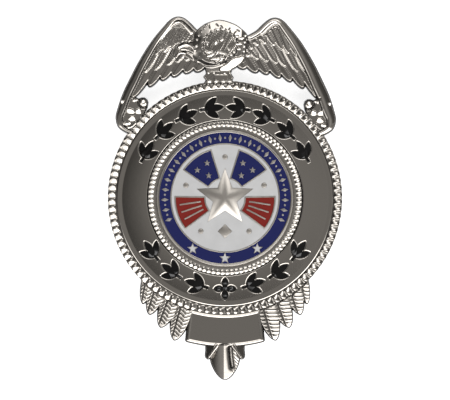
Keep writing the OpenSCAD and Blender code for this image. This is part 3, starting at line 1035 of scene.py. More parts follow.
# Front of the right wing, from its root over the peak to its foot
WING_EDGE = [
    (4.9, 35.7), (6.4, 36.6), (7.8, 38.0), (9.2, 39.1), (10.6, 39.45), (12.0, 39.0), (13.4, 37.7),
    (16.4, 34.0), (19.0, 29.8), (20.9, 26.1), (22.5, 22.7), (23.55, 19.6), (24.05, 17.3), (23.5, 15.2),
    (21.9, 14.0), (20.4, 13.5),
]
# Its back edge under the feathers, from the foot to the root
WING_BACK = [
    (18.2, 16.2), (17.4, 18.6), (17.0, 19.6), (16.85, 20.6), (17.1, 21.3), (17.7, 21.75), (18.4, 21.75),
    (19.0, 21.5), (19.7, 21.85), (20.3, 21.75), (19.9, 22.7), (16.6, 25.0), (11.6, 27.2), (7, 28.8),
    (2, 29.6), (2, 34),
]
# Where each feather of the three layers starts and ends, from the head outwards
LONG_FEATHERS = [
    ((1.6, 31.6), (4.5, 28.2)), ((3.0, 33.0), (6.9, 27.3)), ((4.4, 34.4), (9.2, 26.9)),
    ((6.0, 35.6), (11.8, 26.1)), ((7.8, 36.6), (14.2, 25.3)), ((9.6, 37.2), (16.9, 23.9)),
    ((11.6, 37.4), (20.4, 21.6)),
]
MIDDLE_FEATHERS = [
    ((2.8, 33.2), (5.2, 30.9)), ((3.8, 34.2), (6.9, 30.2)), ((5.2, 35.2), (8.9, 29.7)),
    ((6.6, 36.2), (10.9, 29.3)), ((8.2, 36.9), (12.9, 28.6)), ((10.2, 37.2), (15.6, 27.5)),
    ((12.2, 37.2), (17.8, 27.0)),
]
SHORT_FEATHERS = [
    ((4.6, 34.6), (5.7, 32.4)), ((5.8, 35.2), (7.0, 33.2)), ((7.0, 36.0), (8.6, 33.6)),
    ((8.4, 36.5), (10.4, 33.2)), ((9.8, 37.0), (12.0, 32.3)), ((11.2, 37.0), (13.6, 31.5)),
    ((12.6, 36.4), (15.3, 30.9)),
]
# Ovals of the club at the foot: middle, half length and half width, and direction
CLUB_PEARLS = [
    ((20.75, 18.65), (0.88, 0.55), 15), ((19.05, 18.6), (0.66, 0.55), -40),
    ((20.4, 17.05), (0.72, 0.52), -15), ((18.0, 20.9), (0.42, 0.34), -30), ((19.3, 21.1), (0.36, 0.26), 0),
    ((20.0, 21.0), (0.34, 0.24), -20), ((22.5, 20.6), (0.42, 0.36), 0),
]
# Strokes of the club: path, width at both ends, and height
CLUB_STROKES = [
    ([(22.9, 16.6), (22.3, 16.0), (21.6, 15.75), (20.9, 15.95)], (0.5, 0.75), 2.6),
    ([(22.2, 15.0), (21.2, 14.95), (20.3, 15.3), (19.6, 16.0)], (0.4, 0.55), 2.5),
]


@dataclass(frozen=True)
class WingSide:
    """What sets one wing off from the other.

    Bow is the power of the feathers' domes. The front band's width is a share of the full one,
    and its crest is rounded over its softness.
    """

    name: str
    bow: float
    scaled: bool
    band_share: float
    softness: float


RIGHT_WING = WingSide("wing_right", bow=2.0, scaled=False, band_share=1.0, softness=0.28)
LEFT_WING = WingSide("wing_left", bow=3.0, scaled=True, band_share=0.72, softness=0.16)


@dataclass
class Wings:
    """The spread wings: a rounded leading edge, three layers of feathers, and a pearled club at the foot."""

    cell: float = 0.125
    crease: float = 75
    plate: float = 1.4
    edge_shares: tuple[float, ...] = (0.0, 0.2, 0.3, 0.4, 0.5, 0.62, 0.72, 0.82, 0.9, 1.0)
    edge_widths: tuple[float, ...] = (0.75, 0.8, 0.95, 1.4, 2.0, 2.3, 2.2, 1.7, 1.1, 0.7)
    edge_slopes: tuple[float, ...] = (0.32, 0.32, 0.3, 0.2, 0.1, 0.08, 0.08, 0.12, 0.2, 0.3)
    edge_round: float = 0.4
    edge_z: float = 2.88
    # Slopes of the band's back over its softness and over the step behind that, and the step's width
    # and least height
    soft_slope: float = 0.38
    step_slope: float = 1.4
    step: float = 0.25
    step_z: float = 2.3
    # The shelf behind the band at the peak: width, share of the front, and height
    shelf: float = 2.3
    shelf_share: float = 0.45
    shelf_z: float = 2.35
    # The thin ridge on the shelf: first and last share of the front, distance, width and height
    ridge_run: Point = (0.08, 0.5)
    ridge_in: float = 1.45
    ridge_width: Point = (0.62, 0.4)
    ridge_z: float = 2.7
    long: Feather = Feather(3.3, 0.6, 1.98, 0.34, shaft=0.05, barbs=0.03, rise=0.05, fall=0.2)
    middle: Feather = Feather(2.0, 1.6, 2.25, 0.34, shaft=0.03, barbs=0.035, rise=0.08, fall=0.1)
    short: Feather = Feather(1.6, 1.9, 2.48, 0.26, shaft=0.03, barbs=0.035, rise=0.08, fall=0.1)
    short_bow: float = 2.0
    covert: Feather = Feather(1.1, 2.2, 2.52, 0.16, barbs=0.045, rise=0.06, fall=0.1)
    covert_bow: float = 2.5
    # How far down the short feathers each row of scales ends, and the height of each over the last
    covert_rows: tuple[float, ...] = (0.78, 0.56, 0.34)
    covert_shift: float = 0.1
    covert_step: float = 0.06
    stipple: float = 0.045
    stipple_over: float = 2.15
    stipple_pitch: Point = (0.66, 0.6)
    # The smooth disc of the foot: middle, radius, height and bow
    disc: Point = (21.3, 18.2)
    disc_r: float = 5.3
    disc_z: float = 2.2
    disc_bow: float = 0.012
    # The curl over it: middle, radius, height, bow, and the groove round it
    curl: Point = (17.9, 20.6)
    curl_r: float = 1.15
    curl_z: float = 2.55
    curl_bow: float = 0.3
    curl_groove: float = 0.4
    curl_groove_r: float = 1.2
    curl_groove_half: float = 0.16
    pearl_rise: float = 0.22
    lean_deg: float = -0.6

    def beside(self, path: list[Point], distance: float) -> list[Point]:
        """Moves a path sideways to its right.

        Args:
            path: The path.
            distance: How far.

        Returns:
            The moved path.
        """
        out = []
        for i, (x, y) in enumerate(path):
            (ax, ay), (bx, by) = path[max(i - 1, 0)], path[min(i + 1, len(path) - 1)]
            size = math.hypot(bx - ax, by - ay)
            out.append((x + distance * (by - ay) / size, y - distance * (bx - ax) / size))
        return out

    def carve(self, side: WingSide) -> bmesh.types.BMesh:
        """Carves a wing, in the right one's place.

        Args:
            side: What sets it off from the other.

        Returns:
            Its closed bmesh.
        """
        relief = Relief((1.2, 12.6), (24.8, 40.2), self.cell)
        edge = smooth_curve(WING_EDGE, 6)
        inside = -relief.to_outline(edge + WING_BACK)
        relief.raise_to(np.full(len(relief.x), self.plate))
        for root, tip in LONG_FEATHERS:
            inside = np.maximum(inside, relief.blade(root, tip, self.long, side.bow))
        for root, tip in MIDDLE_FEATHERS:
            relief.blade(root, tip, self.middle, side.bow)
        for root, tip in SHORT_FEATHERS:
            relief.blade(root, tip, self.short, self.short_bow)
        if side.scaled:
            self.coverts(relief)
        out = np.hypot(relief.x - self.disc[0], relief.y - self.disc[1])
        relief.raise_to(np.where(out < self.disc_r, self.disc_z - self.disc_bow * out ** 2, NOWHERE))
        self.leading_edge(relief, edge, side)
        self.club(relief)
        return relief.cut(inside)

    def coverts(self, relief: Relief) -> None:
        """Lays rows of small scale-like feathers over the roots of the others, and stipples them.

        Args:
            relief: The wing.
        """
        steps = 2 * len(SHORT_FEATHERS) - 1
        for row, reach in enumerate(self.covert_rows):
            form = replace(self.covert, top=self.covert.top + self.covert_step * row)
            for step in range(steps):
                i, half = divmod(step, 2)
                k = min(i + half, len(SHORT_FEATHERS) - 1)
                root = [(SHORT_FEATHERS[i][0][c] + SHORT_FEATHERS[k][0][c]) / 2 for c in (0, 1)]
                end = [(SHORT_FEATHERS[i][1][c] + SHORT_FEATHERS[k][1][c]) / 2 for c in (0, 1)]
                share = reach + self.covert_shift * half
                tip = (root[0] + (end[0] - root[0]) * share, root[1] + (end[1] - root[1]) * share)
                relief.blade(tuple(root), tip, form, self.covert_bow)
        grain = np.sin(2 * math.pi * (relief.x + 0.5 * relief.y) / self.stipple_pitch[0])
        grain *= np.sin(2 * math.pi * (1.3 * relief.y - 0.4 * relief.x) / self.stipple_pitch[1])
        relief.z += np.where(relief.z > self.stipple_over, self.stipple * grain, 0)

    def leading_edge(self, relief: Relief, edge: list[Point], side: WingSide) -> None:
        """Raises the sloping band along the front of the wing, and the thin ridge behind it at the peak.

        Args:
            relief: The wing.
            edge: The front of the wing.
            side: What sets the wing off from the other.
        """
        far, share = relief.to_path(edge)
        soft = side.softness
        width = np.interp(share, self.edge_shares, self.edge_widths) * side.band_share
        slope = np.interp(share, self.edge_shares, self.edge_slopes)
        past = far - width
        out = np.maximum(-past, 0)
        band = self.edge_z - slope * out - self.edge_round / 2 * out ** 2
        band -= self.soft_slope * np.clip(past, 0, soft)
        band -= self.step_slope * np.clip(past - soft, 0, self.step)
        stepped = np.where(past < soft, band, np.maximum(band, self.step_z))
        relief.z = np.where(past < soft + self.step, stepped, relief.z)
        on_shelf = (far < self.shelf) & (share < self.shelf_share) & (past > soft)
        relief.raise_to(np.where(on_shelf, self.shelf_z, NOWHERE))
        first, last = [round(len(edge) * end) for end in self.ridge_run]
        relief.stroke(self.beside(edge[first:last], self.ridge_in)[::3], self.ridge_width, self.ridge_z)

    def club(self, relief: Relief) -> None:
        """Models the scroll, crescent, curl and pearls at the smooth foot of the wing.

        Args:
            relief: The wing.
        """
        out = np.hypot(relief.x - self.curl[0], relief.y - self.curl[1])
        relief.raise_to(np.where(out < self.curl_r, self.curl_z - self.curl_bow * out ** 2, NOWHERE))
        relief.z -= self.curl_groove * np.exp(-((out - self.curl_groove_r) / self.curl_groove_half) ** 2)
        for at, size, turn in CLUB_PEARLS:
            relief.pearl(at, size, turn, self.pearl_rise)
        for points, width, top in CLUB_STROKES:
            relief.stroke(points, width, top)

    def make(self, material: bpy.types.Material) -> None:
        """Makes both wings, the left one turned over from the right one's place.

        Args:
            material: The plate.
        """
        lean = Matrix.Rotation(math.radians(self.lean_deg), 4, "Z")
        wings = {RIGHT_WING.name: self.carve(RIGHT_WING), LEFT_WING.name: mirrored(self.carve(LEFT_WING))}
        for name, bm in wings.items():
            bmesh.ops.transform(bm, matrix=lean, verts=bm.verts)
            make_object(name, bm, material, ["shield"], crease=self.crease)


# The head's outline, without the pedestal
HEAD_OUTLINE = [
    (-6.4, 36.3), (-5.2, 37.4), (-3.8, 38.2), (-1.1, 38.85), (1.9, 38.0), (3.6, 36.9), (4.9, 35.5),
    (5.0, 33.4), (4.5, 31.4), (4.1, 29.7), (1.7, 27.9), (-1.2, 27.4), (-4.0, 27.9), (-5.4, 29.0),
    (-6.7, 29.3), (-8.0, 30.1), (-9.3, 30.8), (-10.0, 30.5), (-10.6, 29.9), (-11.2, 30.8), (-11.3, 31.8),
    (-10.8, 32.7), (-9.6, 33.4), (-7.8, 33.8), (-6.9, 34.0), (-6.9, 35.2),
]
# Short feathers behind the face: middle, half length and half width, and direction
NECK_FEATHERS = [
    ((2.9, 33.3), (0.75, 0.24), 5), ((3.4, 34.5), (0.85, 0.26), 10), ((4.3, 35.1), (0.5, 0.22), 25),
    ((4.2, 33.7), (0.45, 0.2), 15), ((4.1, 32.8), (0.42, 0.2), 10), ((3.0, 32.2), (0.5, 0.2), -10),
    ((2.6, 35.0), (0.4, 0.2), 15), ((4.1, 31.8), (0.4, 0.16), -10), ((2.1, 31.5), (0.4, 0.18), -30),
    ((4.75, 34.3), (0.3, 0.16), 30), ((2.2, 34.1), (0.3, 0.15), 10), ((1.4, 31.0), (0.36, 0.16), -35),
]
# Fine cuts in the crown and short feathers over the brow: middle and direction
CROWN_CUTS = [
    ((-1.7, 37.6), 135), ((-0.7, 37.2), 130), ((0.9, 36.6), 60), ((2.2, 35.9), 45), ((-3.4, 37.2), 110),
    ((2.9, 36.3), 150),
]
BROW_FEATHERS = [((-4.4, 36.6), 118), ((-5.0, 35.9), 122), ((-5.6, 35.1), 126), ((-3.9, 37.3), 112),
                 ((-6.0, 34.2), 140)]
# The eye's hollow and ball, with their rise as well, and small feathers of the face
EYE = [((-3.9, 33.4), (0.75, 0.7), 0, -0.1), ((-3.9, 33.4), (0.4, 0.4), 0, 0.12)]
CHEEK_FEATHERS = [((-2.0, 33.55), (0.55, 0.3), 70), ((-0.76, 34.2), (0.42, 0.22), 25),
                  ((0.8, 32.2), (0.3, 0.14), -50)]
# Strokes of the face and of the beak: path, width at both ends, and height
FACE_STROKES = [
    ([(-6.2, 32.9), (-5.3, 32.5), (-4.5, 31.9), (-3.6, 31.5), (-2.8, 31.6)], (0.6, 0.45), 3.5),
    ([(-5.4, 30.7), (-4.6, 30.5), (-3.5, 30.7), (-2.4, 31.1), (-1.8, 31.3)], (0.45, 0.6), 3.5),
    ([(-3.2, 30.0), (-2.6, 30.05), (-1.4, 30.15)], (0.3, 0.4), 3.55),
    ([(-2.9, 29.4), (-1.5, 29.5)], (0.25, 0.3), 3.5),
    ([(-1.6, 31.7), (-0.7, 31.4), (0.2, 31.2), (0.7, 30.8)], (0.3, 0.25), 3.65),
    ([(-0.9, 30.5), (-0.2, 30.1)], (0.4, 0.3), 3.6),
]
BEAK_STROKES = [
    ([(-6.6, 32.0), (-7.0, 32.6), (-8.0, 33.05), (-9.0, 33.0), (-9.9, 32.6)], (0.55, 0.7), 3.3),
    ([(-7.0, 31.6), (-7.8, 31.95), (-8.6, 32.1), (-9.5, 32.1)], (0.4, 0.35), 3.2),
    ([(-8.7, 31.3), (-9.6, 31.4), (-10.2, 31.1), (-10.6, 30.5)], (0.45, 0.6), 3.0),
]
# The lower and the upper beak: middle line, half width and height
BEAKS = [
    ([(-4.9, 29.9), (-6.6, 30.5), (-8.2, 31.1), (-9.3, 31.4)], 1.0, 2.55),
    ([(-5.9, 32.2), (-7.8, 32.6), (-9.4, 32.5), (-10.6, 31.8), (-10.8, 30.7)], 0.85, 2.9),
]
# The groove of the throat, and the outlines of the collar and of the pedestal
THROAT = [(-5.6, 29.6), (-4.3, 28.9), (-2.6, 28.7), (-0.9, 29.2), (-0.2, 29.8)]
COLLAR = [
    (-1.0, 27.5), (1.0, 27.5), (2.5, 28.2), (3.6, 29.2), (4.2, 30.4), (3.7, 30.9), (3.0, 30.6), (2.2, 30.5),
    (1.2, 30.0), (0.2, 29.1), (-1.0, 28.4),
]
PEDESTAL = [(-4.0, 28.4), (-4.2, 27.1), (-4.75, 26.4), (-4.3, 25.6), (-4.5, 24.4), (1.9, 24.4), (1.7, 25.6),
            (1.9, 26.3), (1.4, 27.1), (1.2, 28.4)]
# Rows of pearls on the pedestal: places across, place along, half length and half width, and rise
PEDESTAL_PEARLS = [((-3.6, -2.4, -0.1, 1.1), 27.1, (0.24, 0.16), 0.08),
                   ((-3.4, -2.0, -0.45, 0.95), 25.25, (0.38, 0.26), 0.12)]


@dataclass
class EagleHead(Carving):
    """The eagle's head in profile, looking left, with a ruff of short feathers, on its pedestal."""

    name: str = "eagle_head"
    crease: float = 75
    cell: float = 0.1
    edge: float = 0.24
    # The round face, bowed up in its middle, and the scalloped step from it to the crown
    face: Point = (-1.0, 33.0)
    face_r: float = 3.9
    face_z: float = 3.35
    face_bow: float = 0.15
    scallop: float = 0.45
    scallop_turns: int = 11
    scallop_power: float = 0.6
    scallop_edge: float = 0.25
    # The crown falls outwards from this radius, which is stretched across by these shares
    crown_r: float = 3.0
    crown_z: float = 3.85
    crown_slope: float = 0.4
    crown_run: float = 4.0
    stretch_at: tuple[float, ...] = (-6.0, -2.8, 9)
    stretch: tuple[float, ...] = (0.75, 0.6, 0.6)
    # Below this height on the badge, over this run, the crown starts farther out and falls faster
    under_y: float = 31.6
    under_run: float = 1.6
    under_r: float = 0.9
    under_slope: float = 0.5
    # Where the head's left and right sides start to fall, and their slopes
    left_x: float = -3.2
    left_slope: float = 0.06
    right_x: float = 3.6
    right_slope: float = 0.25
    # The three chased patterns of the face: depth, spacings, and the wave in the last
    chased: float = 0.027
    chase_pitch: tuple[float, ...] = (0.9, 0.74, 0.57)
    chase_share: float = 0.8
    chase_wave: float = 1.7
    crown_cut: Point = (0.6, 0.14)
    crown_cut_depth: float = 0.16
    brow_feather: Point = (0.5, 0.17)
    throat_depth: float = 0.35
    throat_half: float = 0.3
    # The collar: where its height is given, its slopes across and along, and its rounded edge
    collar_at: Point = (-1.0, 28.4)
    collar_z: float = 3.55
    collar_slopes: Point = (0.18, 0.32)
    collar_round: float = 0.15
    collar_edge: float = 0.3
    beak_fall: float = 0.25
    beak_round: float = 0.3
    beak_taper: float = 0.5
    # The pedestal up to this height on the badge, its chasing, and its smooth panel
    pedestal_y: float = 27.5
    pedestal_z: float = 2.4
    pedestal_chased: float = 0.02
    pedestal_pitch: Point = (0.9, 0.8)
    panel: Point = (-0.9, 26.1)
    panel_half: Point = (1.5, 0.7)
    panel_z: float = 2.45

    def carve(self) -> bmesh.types.BMesh:
        """Carves the head.

        Returns:
            Its closed bmesh.
        """
        relief = Relief((-12.0, 24.0), (5.8, 39.4), self.cell)
        inside = -relief.to_outline(smooth_curve(HEAD_OUTLINE, 4, closed=True))
        dx, dy = relief.x - self.face[0], relief.y - self.face[1]
        out, turn = np.hypot(dx, dy), np.arctan2(dy, dx)
        scallop = self.face_r - self.scallop * np.abs(np.cos(turn * self.scallop_turns)) ** self.scallop_power
        stretch = np.interp(dx, self.stretch_at, self.stretch)
        under = np.clip((self.under_y - relief.y) / self.under_run, 0, 1)
        fallen = np.maximum(np.hypot(stretch * dx, dy) - self.crown_r - self.under_r * under, 0)
        slope = self.crown_slope + self.under_slope * under
        crown = self.crown_z - slope * np.minimum(fallen, self.crown_run)
        first, second, third = self.chase_pitch
        chased = np.sin(2 * math.pi * (relief.x + 0.5 * relief.y) / first)
        chased *= np.sin(2 * math.pi * relief.y / second)
        wave = 2 * np.sin(self.chase_wave * relief.x)
        chased += self.chase_share * np.sin(2 * math.pi * (relief.x - 0.7 * relief.y) / third + wave)
        bow = np.sqrt(np.clip(1 - (out / self.face_r) ** 2, 0, 1))
        face = self.face_z + self.face_bow * bow + self.chased * chased
        relief.z = face + (crown - face) * np.clip((out - scallop) / self.scallop_edge, 0, 1)
        relief.z -= (self.left_slope * np.maximum(self.left_x - relief.x, 0)
                     + self.right_slope * np.maximum(relief.x - self.right_x, 0))
        self.feathers(relief)
        self.face_marks(relief)
        self.beak(relief)
        return relief.cut(np.maximum(inside, self.pedestal(relief)), edge=self.edge)

    def feathers(self, relief: Relief) -> None:
        """Lays the short feathers behind the face and over the brow, and marks the crown with fine cuts.

        Args:
            relief: The head.
        """
        for at, size, turn in NECK_FEATHERS:
            relief.pearl(at, size, turn)
        for at, turn in CROWN_CUTS:
            relief.bump(at, self.crown_cut, turn, -self.crown_cut_depth)
        for at, turn in BROW_FEATHERS:
            relief.pearl(at, self.brow_feather, turn)

    def face_marks(self, relief: Relief) -> None:
        """Carves the eye, the small feathers of the face, the strokes of mouth and cheek, and the throat.

        Args:
            relief: The head.
        """
        for at, size, turn, rise in EYE:
            relief.bump(at, size, turn, rise)
        for at, size, turn in CHEEK_FEATHERS:
            relief.pearl(at, size, turn)
        for points, width, top in FACE_STROKES:
            relief.stroke(points, width, top)
        relief.groove(smooth_curve(THROAT, 5), self.throat_depth, self.throat_half)
        self.collar(relief)

    def collar(self, relief: Relief) -> None:
        """Raises the smooth crescent under the neck, which slopes outwards.

        Args:
            relief: The head.
        """
        inside = -relief.to_outline(smooth_curve(COLLAR, 5, closed=True))
        across, along = self.collar_slopes
        fall = (relief.x - self.collar_at[0]) * across - (relief.y - self.collar_at[1]) * along
        height = self.collar_z - fall - self.collar_round * np.clip(1 - inside / self.collar_edge, 0, 1) ** 2
        relief.z = np.where(inside > 0, height, relief.z)

    def beak(self, relief: Relief) -> None:
        """Raises the hooked upper beak over the lower one.

        Args:
            relief: The head.
        """
        for points, half, top in BEAKS:
            far, share = relief.to_path(smooth_curve(points, 5))
            body = top - self.beak_fall * share - self.beak_round * (far / half) ** 4
            relief.raise_to(np.where(far < half * (1 - self.beak_taper * share ** 3), body, NOWHERE))
        for points, width, top in BEAK_STROKES:
            relief.stroke(points, width, top)

    def pedestal(self, relief: Relief) -> np.ndarray:
        """Raises the pedestal between the head and the rope.

        Args:
            relief: The head.

        Returns:
            The distance inside its outline, negative outside.
        """
        inside = -relief.to_outline(smooth_curve(PEDESTAL, 4, closed=True))
        panel = np.maximum(np.abs(relief.x - self.panel[0]) / self.panel_half[0],
                           np.abs(relief.y - self.panel[1]) / self.panel_half[1]) < 1
        chased = self.pedestal_chased * np.sin(2 * math.pi * relief.x / self.pedestal_pitch[0])
        chased = chased * np.sin(2 * math.pi * relief.y / self.pedestal_pitch[1])
        height = np.where(panel, self.panel_z, self.pedestal_z + chased)
        relief.z = np.where((inside > 0) & (relief.y < self.pedestal_y), height, relief.z)
        for row, y, size, rise in PEDESTAL_PEARLS:
            for x in row:
                relief.pearl((x, y), size, 0, rise)
        return inside


# Where each leaf of the right fan starts and ends, and its width
LEAVES = [
    ((16.6, -16.8), (17.9, -23.2), 2.9),
    ((14.4, -18.8), (16.5, -25.5), 3.9),
    ((11.3, -20.8), (14.1, -28.3), 4.4),
    ((8.6, -22.4), (11.1, -31.1), 4.7),
]


@dataclass
class RibbedLeaves:
    """The fan of ribbed leaves on each side of the plaque."""

    crease: float = 75
    cell: float = 0.088
    rib: float = 0.84
    rib_rise: float = 0.12
    # Shares of a rib that rise steeply and that are flat on top
    steep: float = 0.26
    flat: float = 0.42
    # Slant of the ribs across the leaves on one side, and their chevron and cross facets on the other
    slant: float = 0.28
    chevron: float = 0.8
    facet: float = 0.55
    facet_slant: float = 1.5
    facet_share: float = 0.5
    # Where the ribs end before the tip, how fast, their share on the narrow lobe, and their fading
    # towards the edges on either side
    rib_end: float = 0.9
    rib_fade: float = 0.3
    narrow_share: float = 0.7
    edge_fades: Point = (0.9, 0.5)
    fade_power: float = 1.5
    # The vein: its place across, and the depth and half width of its groove
    vein: float = -0.3
    vein_depth: float = 0.25
    vein_half: float = 0.13
    # Roundness of the tip and of the sides, and how far a leaf reaches back under the rope
    tip_power: int = 3
    side_power: float = 1.6
    reach_back: float = -1.5
    # Height of the crest, its fall to the tip, and the form of the broad and of the narrow lobe
    crest: float = 2.6
    crest_fall: float = 0.3
    lobe_drop: float = 0.14
    narrow_drop: float = 0.12
    # Slope of the smooth point, and where it starts before the tip
    point_slope: float = 0.36
    point_run: float = 1.1
    # Radius of the rope's outside, the run over which the leaves sink under it, and how low they go
    under_rope: float = 25.1
    sink_run: float = 0.6
    sunk_z: float = 1.6

    def carve(self, side: int) -> bmesh.types.BMesh:
        """Carves a fan, in the right one's place.

        Args:
            side: 1 where the broad lobe of each leaf is its outer one, -1 where it is the inner one.

        Returns:
            Its closed bmesh.
        """
        relief = Relief((6.6, -32.2), (20.6, -15.6), self.cell)
        inside = np.full(len(relief.x), NOWHERE)
        for root, tip, width in LEAVES:
            s, t, length = relief.along(root, tip)
            u = np.clip(s / length, 0, PAST_TIP)
            across = 2 * t / width
            field = 1 - u ** self.tip_power - np.abs(across) ** self.side_power
            slope_along = self.tip_power * u ** (self.tip_power - 1) / length
            slope_across = 2 * self.side_power * np.abs(across) ** (self.side_power - 1) / width
            slope = np.sqrt(slope_along ** 2 + slope_across ** 2) + 1e-6
            lies = np.where(s > self.reach_back, np.minimum(field / slope, width / 2), NOWHERE)
            place = side * across
            broad = place > self.vein
            lobe = np.where(broad, (place - 0.5 - self.vein / 2) / (0.5 - self.vein / 2),
                            (place + 0.5 - self.vein / 2) / (0.5 + self.vein / 2))
            crest = self.crest - self.crest_fall * u ** self.tip_power
            crest -= np.where(broad, self.lobe_drop * lobe ** 4, self.narrow_drop - self.lobe_drop * lobe)
            lean = self.slant * t if side > 0 else -self.chevron * np.abs(lobe) * width / 4
            saw = (s - lean) / self.rib % 1
            fall = np.clip((saw - self.flat) / (1 - self.steep - self.flat), 0, 1)
            fall = np.where(saw < 1 - self.steep, fall, (1 - saw) / self.steep)
            if side < 0:
                crossing = (s + self.facet_slant * t) / self.facet % 1
                fall += self.facet_share * np.abs(crossing - 0.5)
            ribbed = np.clip((length - s - self.rib_end) / self.rib_fade, 0, 1)
            ribbed = ribbed * np.where(broad, 1, self.narrow_share)
            fade = self.edge_fades[0] if side > 0 else self.edge_fades[1]
            ribbed *= 1 - fade * np.clip(np.abs(lobe), 0, 1) ** self.fade_power
            point = self.point_slope * np.clip(s - length + self.point_run, 0, 2)
            height = crest - self.rib_rise * fall * ribbed - point
            height -= self.vein_depth * np.exp(-((place - self.vein) * width / 2 / self.vein_half) ** 2)
            relief.raise_to(np.where(lies > 0, height, NOWHERE))
            inside = np.maximum(inside, lies)
        past = np.clip((np.hypot(relief.x, relief.y) - self.under_rope) / self.sink_run, 0, 1)
        sunk = self.sunk_z + (relief.z - self.sunk_z) * np.sqrt(past)
        relief.z = np.where(relief.z > self.sunk_z, sunk, relief.z)
        return relief.cut(inside)

    def make(self, material: bpy.types.Material) -> None:
        """Makes both fans.

        Args:
            material: The plate.
        """
        make_object("leaves_right", self.carve(1), material, ["shield"], crease=self.crease)
        make_object("leaves_left", mirrored(self.carve(-1)), material, ["shield"], crease=self.crease)


@dataclass
class Plaque(Carving):
    """The blank plaque at the foot: a polished panel inside a raised rounded border and a sloping wall."""

    name: str = "plaque"
    crease: float = 60
    cell: float = 0.08
    edge: float = 0.2
    # Radius of its lower corners, the ends of its right side, and the radii of its lower and upper edges
    corner: float = 0.5
    top: Point = (7.9, -23.6)
    bottom: Point = (8.8, -31.3)
    radius: float = 32.5
    inner: float = 24.75
    # The border: radius on the badge from which its upper part is measured, half width, floor, and rise
    border_r: float = 25.0
    border: float = 0.28
    floor_z: float = 2.4
    border_rise: float = 0.1
    wall: float = 0.44
    wall_slope: float = 1.3

    def carve(self) -> bmesh.types.BMesh:
        """Carves the plaque.

        Returns:
            Its closed bmesh.
        """
        relief = Relief((-9.4, -33.0), (9.4, -23.0), self.cell)
        run, fall = self.bottom[0] - self.top[0], self.bottom[1] - self.top[1]
        size = math.hypot(run, fall)
        side = ((np.abs(relief.x) - self.top[0]) * -fall + (relief.y - self.top[1]) * run) / size
        low = np.hypot(relief.x, relief.y) - self.radius
        high = self.inner - np.hypot(relief.x, relief.y)
        out = np.hypot(np.maximum(side + self.corner, 0), np.maximum(low + self.corner, 0)) - self.corner
        at_corner = (side > -self.corner) & (low > -self.corner)
        inside = -np.where(at_corner, out, np.maximum(side, low))
        inside = np.minimum(inside, -high)
        within = np.minimum(np.minimum(-side, -low), np.hypot(relief.x, relief.y) - self.border_r)
        across = np.clip((within - self.wall) / self.border - 1, -1, 1)
        wall = np.clip(self.wall - np.minimum(-side, -low), 0, self.wall)
        border = self.border_rise * (1 + np.cos(math.pi * across)) / 2
        relief.raise_to(self.floor_z + border - self.wall_slope * wall)
        return relief.cut(inside, edge=self.edge)


@dataclass
class Bud(Carving):
    """The pointed bud at the tip of the badge, between two small ribbed sepals."""

    name: str = "bud"
    crease: float = 60
    cell: float = 0.09
    half: tuple[Point, ...] = ((3.3, -31.4), (3.45, -34.3), (3.0, -36.4), (2.05, -38.2), (1.0, -39.3))
    tip: Point = (0.0, -39.65)
    sepal: tuple[Point, ...] = ((1.0, -31.4), (4.0, -31.6), (4.35, -33.2), (4.4, -34.6), (3.7, -35.2),
                                (2.9, -34.7), (2.0, -33.2))
    # The ridge: its height, its place across, where it starts to fall to the tip, and its slope there
    crest: float = 3.05
    ridge_x: float = -0.2
    ridge_y: float = -32.0
    ridge_slope: float = 0.12
    # Slope and bow of the left face, slope of the right one, and the least height
    left_slope: float = 0.5
    left_bow: float = 0.04
    right_slope: float = 0.3
    least: float = 0.9
    # The dent in the right face, and the hatching beside it
    dent: tuple[Point, ...] = ((1.2, -32.6), (1.35, -34.6), (1.6, -36.6))
    dent_depth: float = 0.7
    dent_half: float = 0.46
    hatch_x: float = 1.6
    hatch_fade: float = 0.3
    hatch_pitch: float = 0.7
    hatch: float = 0.03
    # The middle line of a sepal, its height, its slopes across and along, its ribs, and the stroke over it
    sepal_line: tuple[Point, Point] = ((2.0, -31.6), (3.7, -35.0))
    sepal_z: float = 2.6
    sepal_slopes: Point = (0.6, 0.06)
    rib_pitch: float = 0.6
    rib: float = 0.02
    stroke: tuple[Point, ...] = ((1.7, -32.2), (2.5, -33.2), (3.4, -34.5))
    stroke_width: Point = (0.6, 0.45)
    stroke_z: float = 2.65
    stroke_lean: float = 0.3

    def carve(self) -> bmesh.types.BMesh:
        """Carves the bud.

        Returns:
            Its closed bmesh.
        """
        relief = Relief((-6.0, -40.0), (6.0, -31.0), self.cell)
        outline = smooth_curve([*self.half, self.tip, *[(-x, y) for x, y in reversed(self.half)]], 5)
        inside = -relief.to_outline(outline)
        ridge = self.crest - self.ridge_slope * np.maximum(self.ridge_y - relief.y, 0)
        left = np.maximum(self.ridge_x - relief.x, 0)
        left_fall = self.left_slope * left + self.left_bow * left ** 2
        height = ridge - np.where(left > 0, left_fall, self.right_slope * (relief.x - self.ridge_x))
        relief.raise_to(np.where(inside > 0, np.maximum(height, self.least), NOWHERE))
        relief.groove(list(self.dent), self.dent_depth, self.dent_half)
        hatched = np.sin(2 * math.pi * (relief.x + relief.y) / self.hatch_pitch)
        relief.z += self.hatch * (np.clip((relief.x - self.hatch_x) / self.hatch_fade, 0, 1) * hatched)
        for side in (-1, 1):
            sepal, line, stroke = [[(side * x, y) for x, y in path]
                                   for path in (self.sepal, self.sepal_line, self.stroke)]
            leaf = -relief.to_outline(smooth_curve(sepal, 4, closed=True))
            s, t, _ = relief.along(*line)
            height = self.sepal_z - self.sepal_slopes[0] * np.abs(t) - self.sepal_slopes[1] * s
            height += self.rib * np.sin(2 * math.pi * s / self.rib_pitch)
            relief.raise_to(np.where(leaf > 0, height, NOWHERE))
            relief.stroke(stroke, self.stroke_width, self.stroke_z, self.stroke_lean)
            inside = np.maximum(inside, leaf)
        return relief.cut(inside)


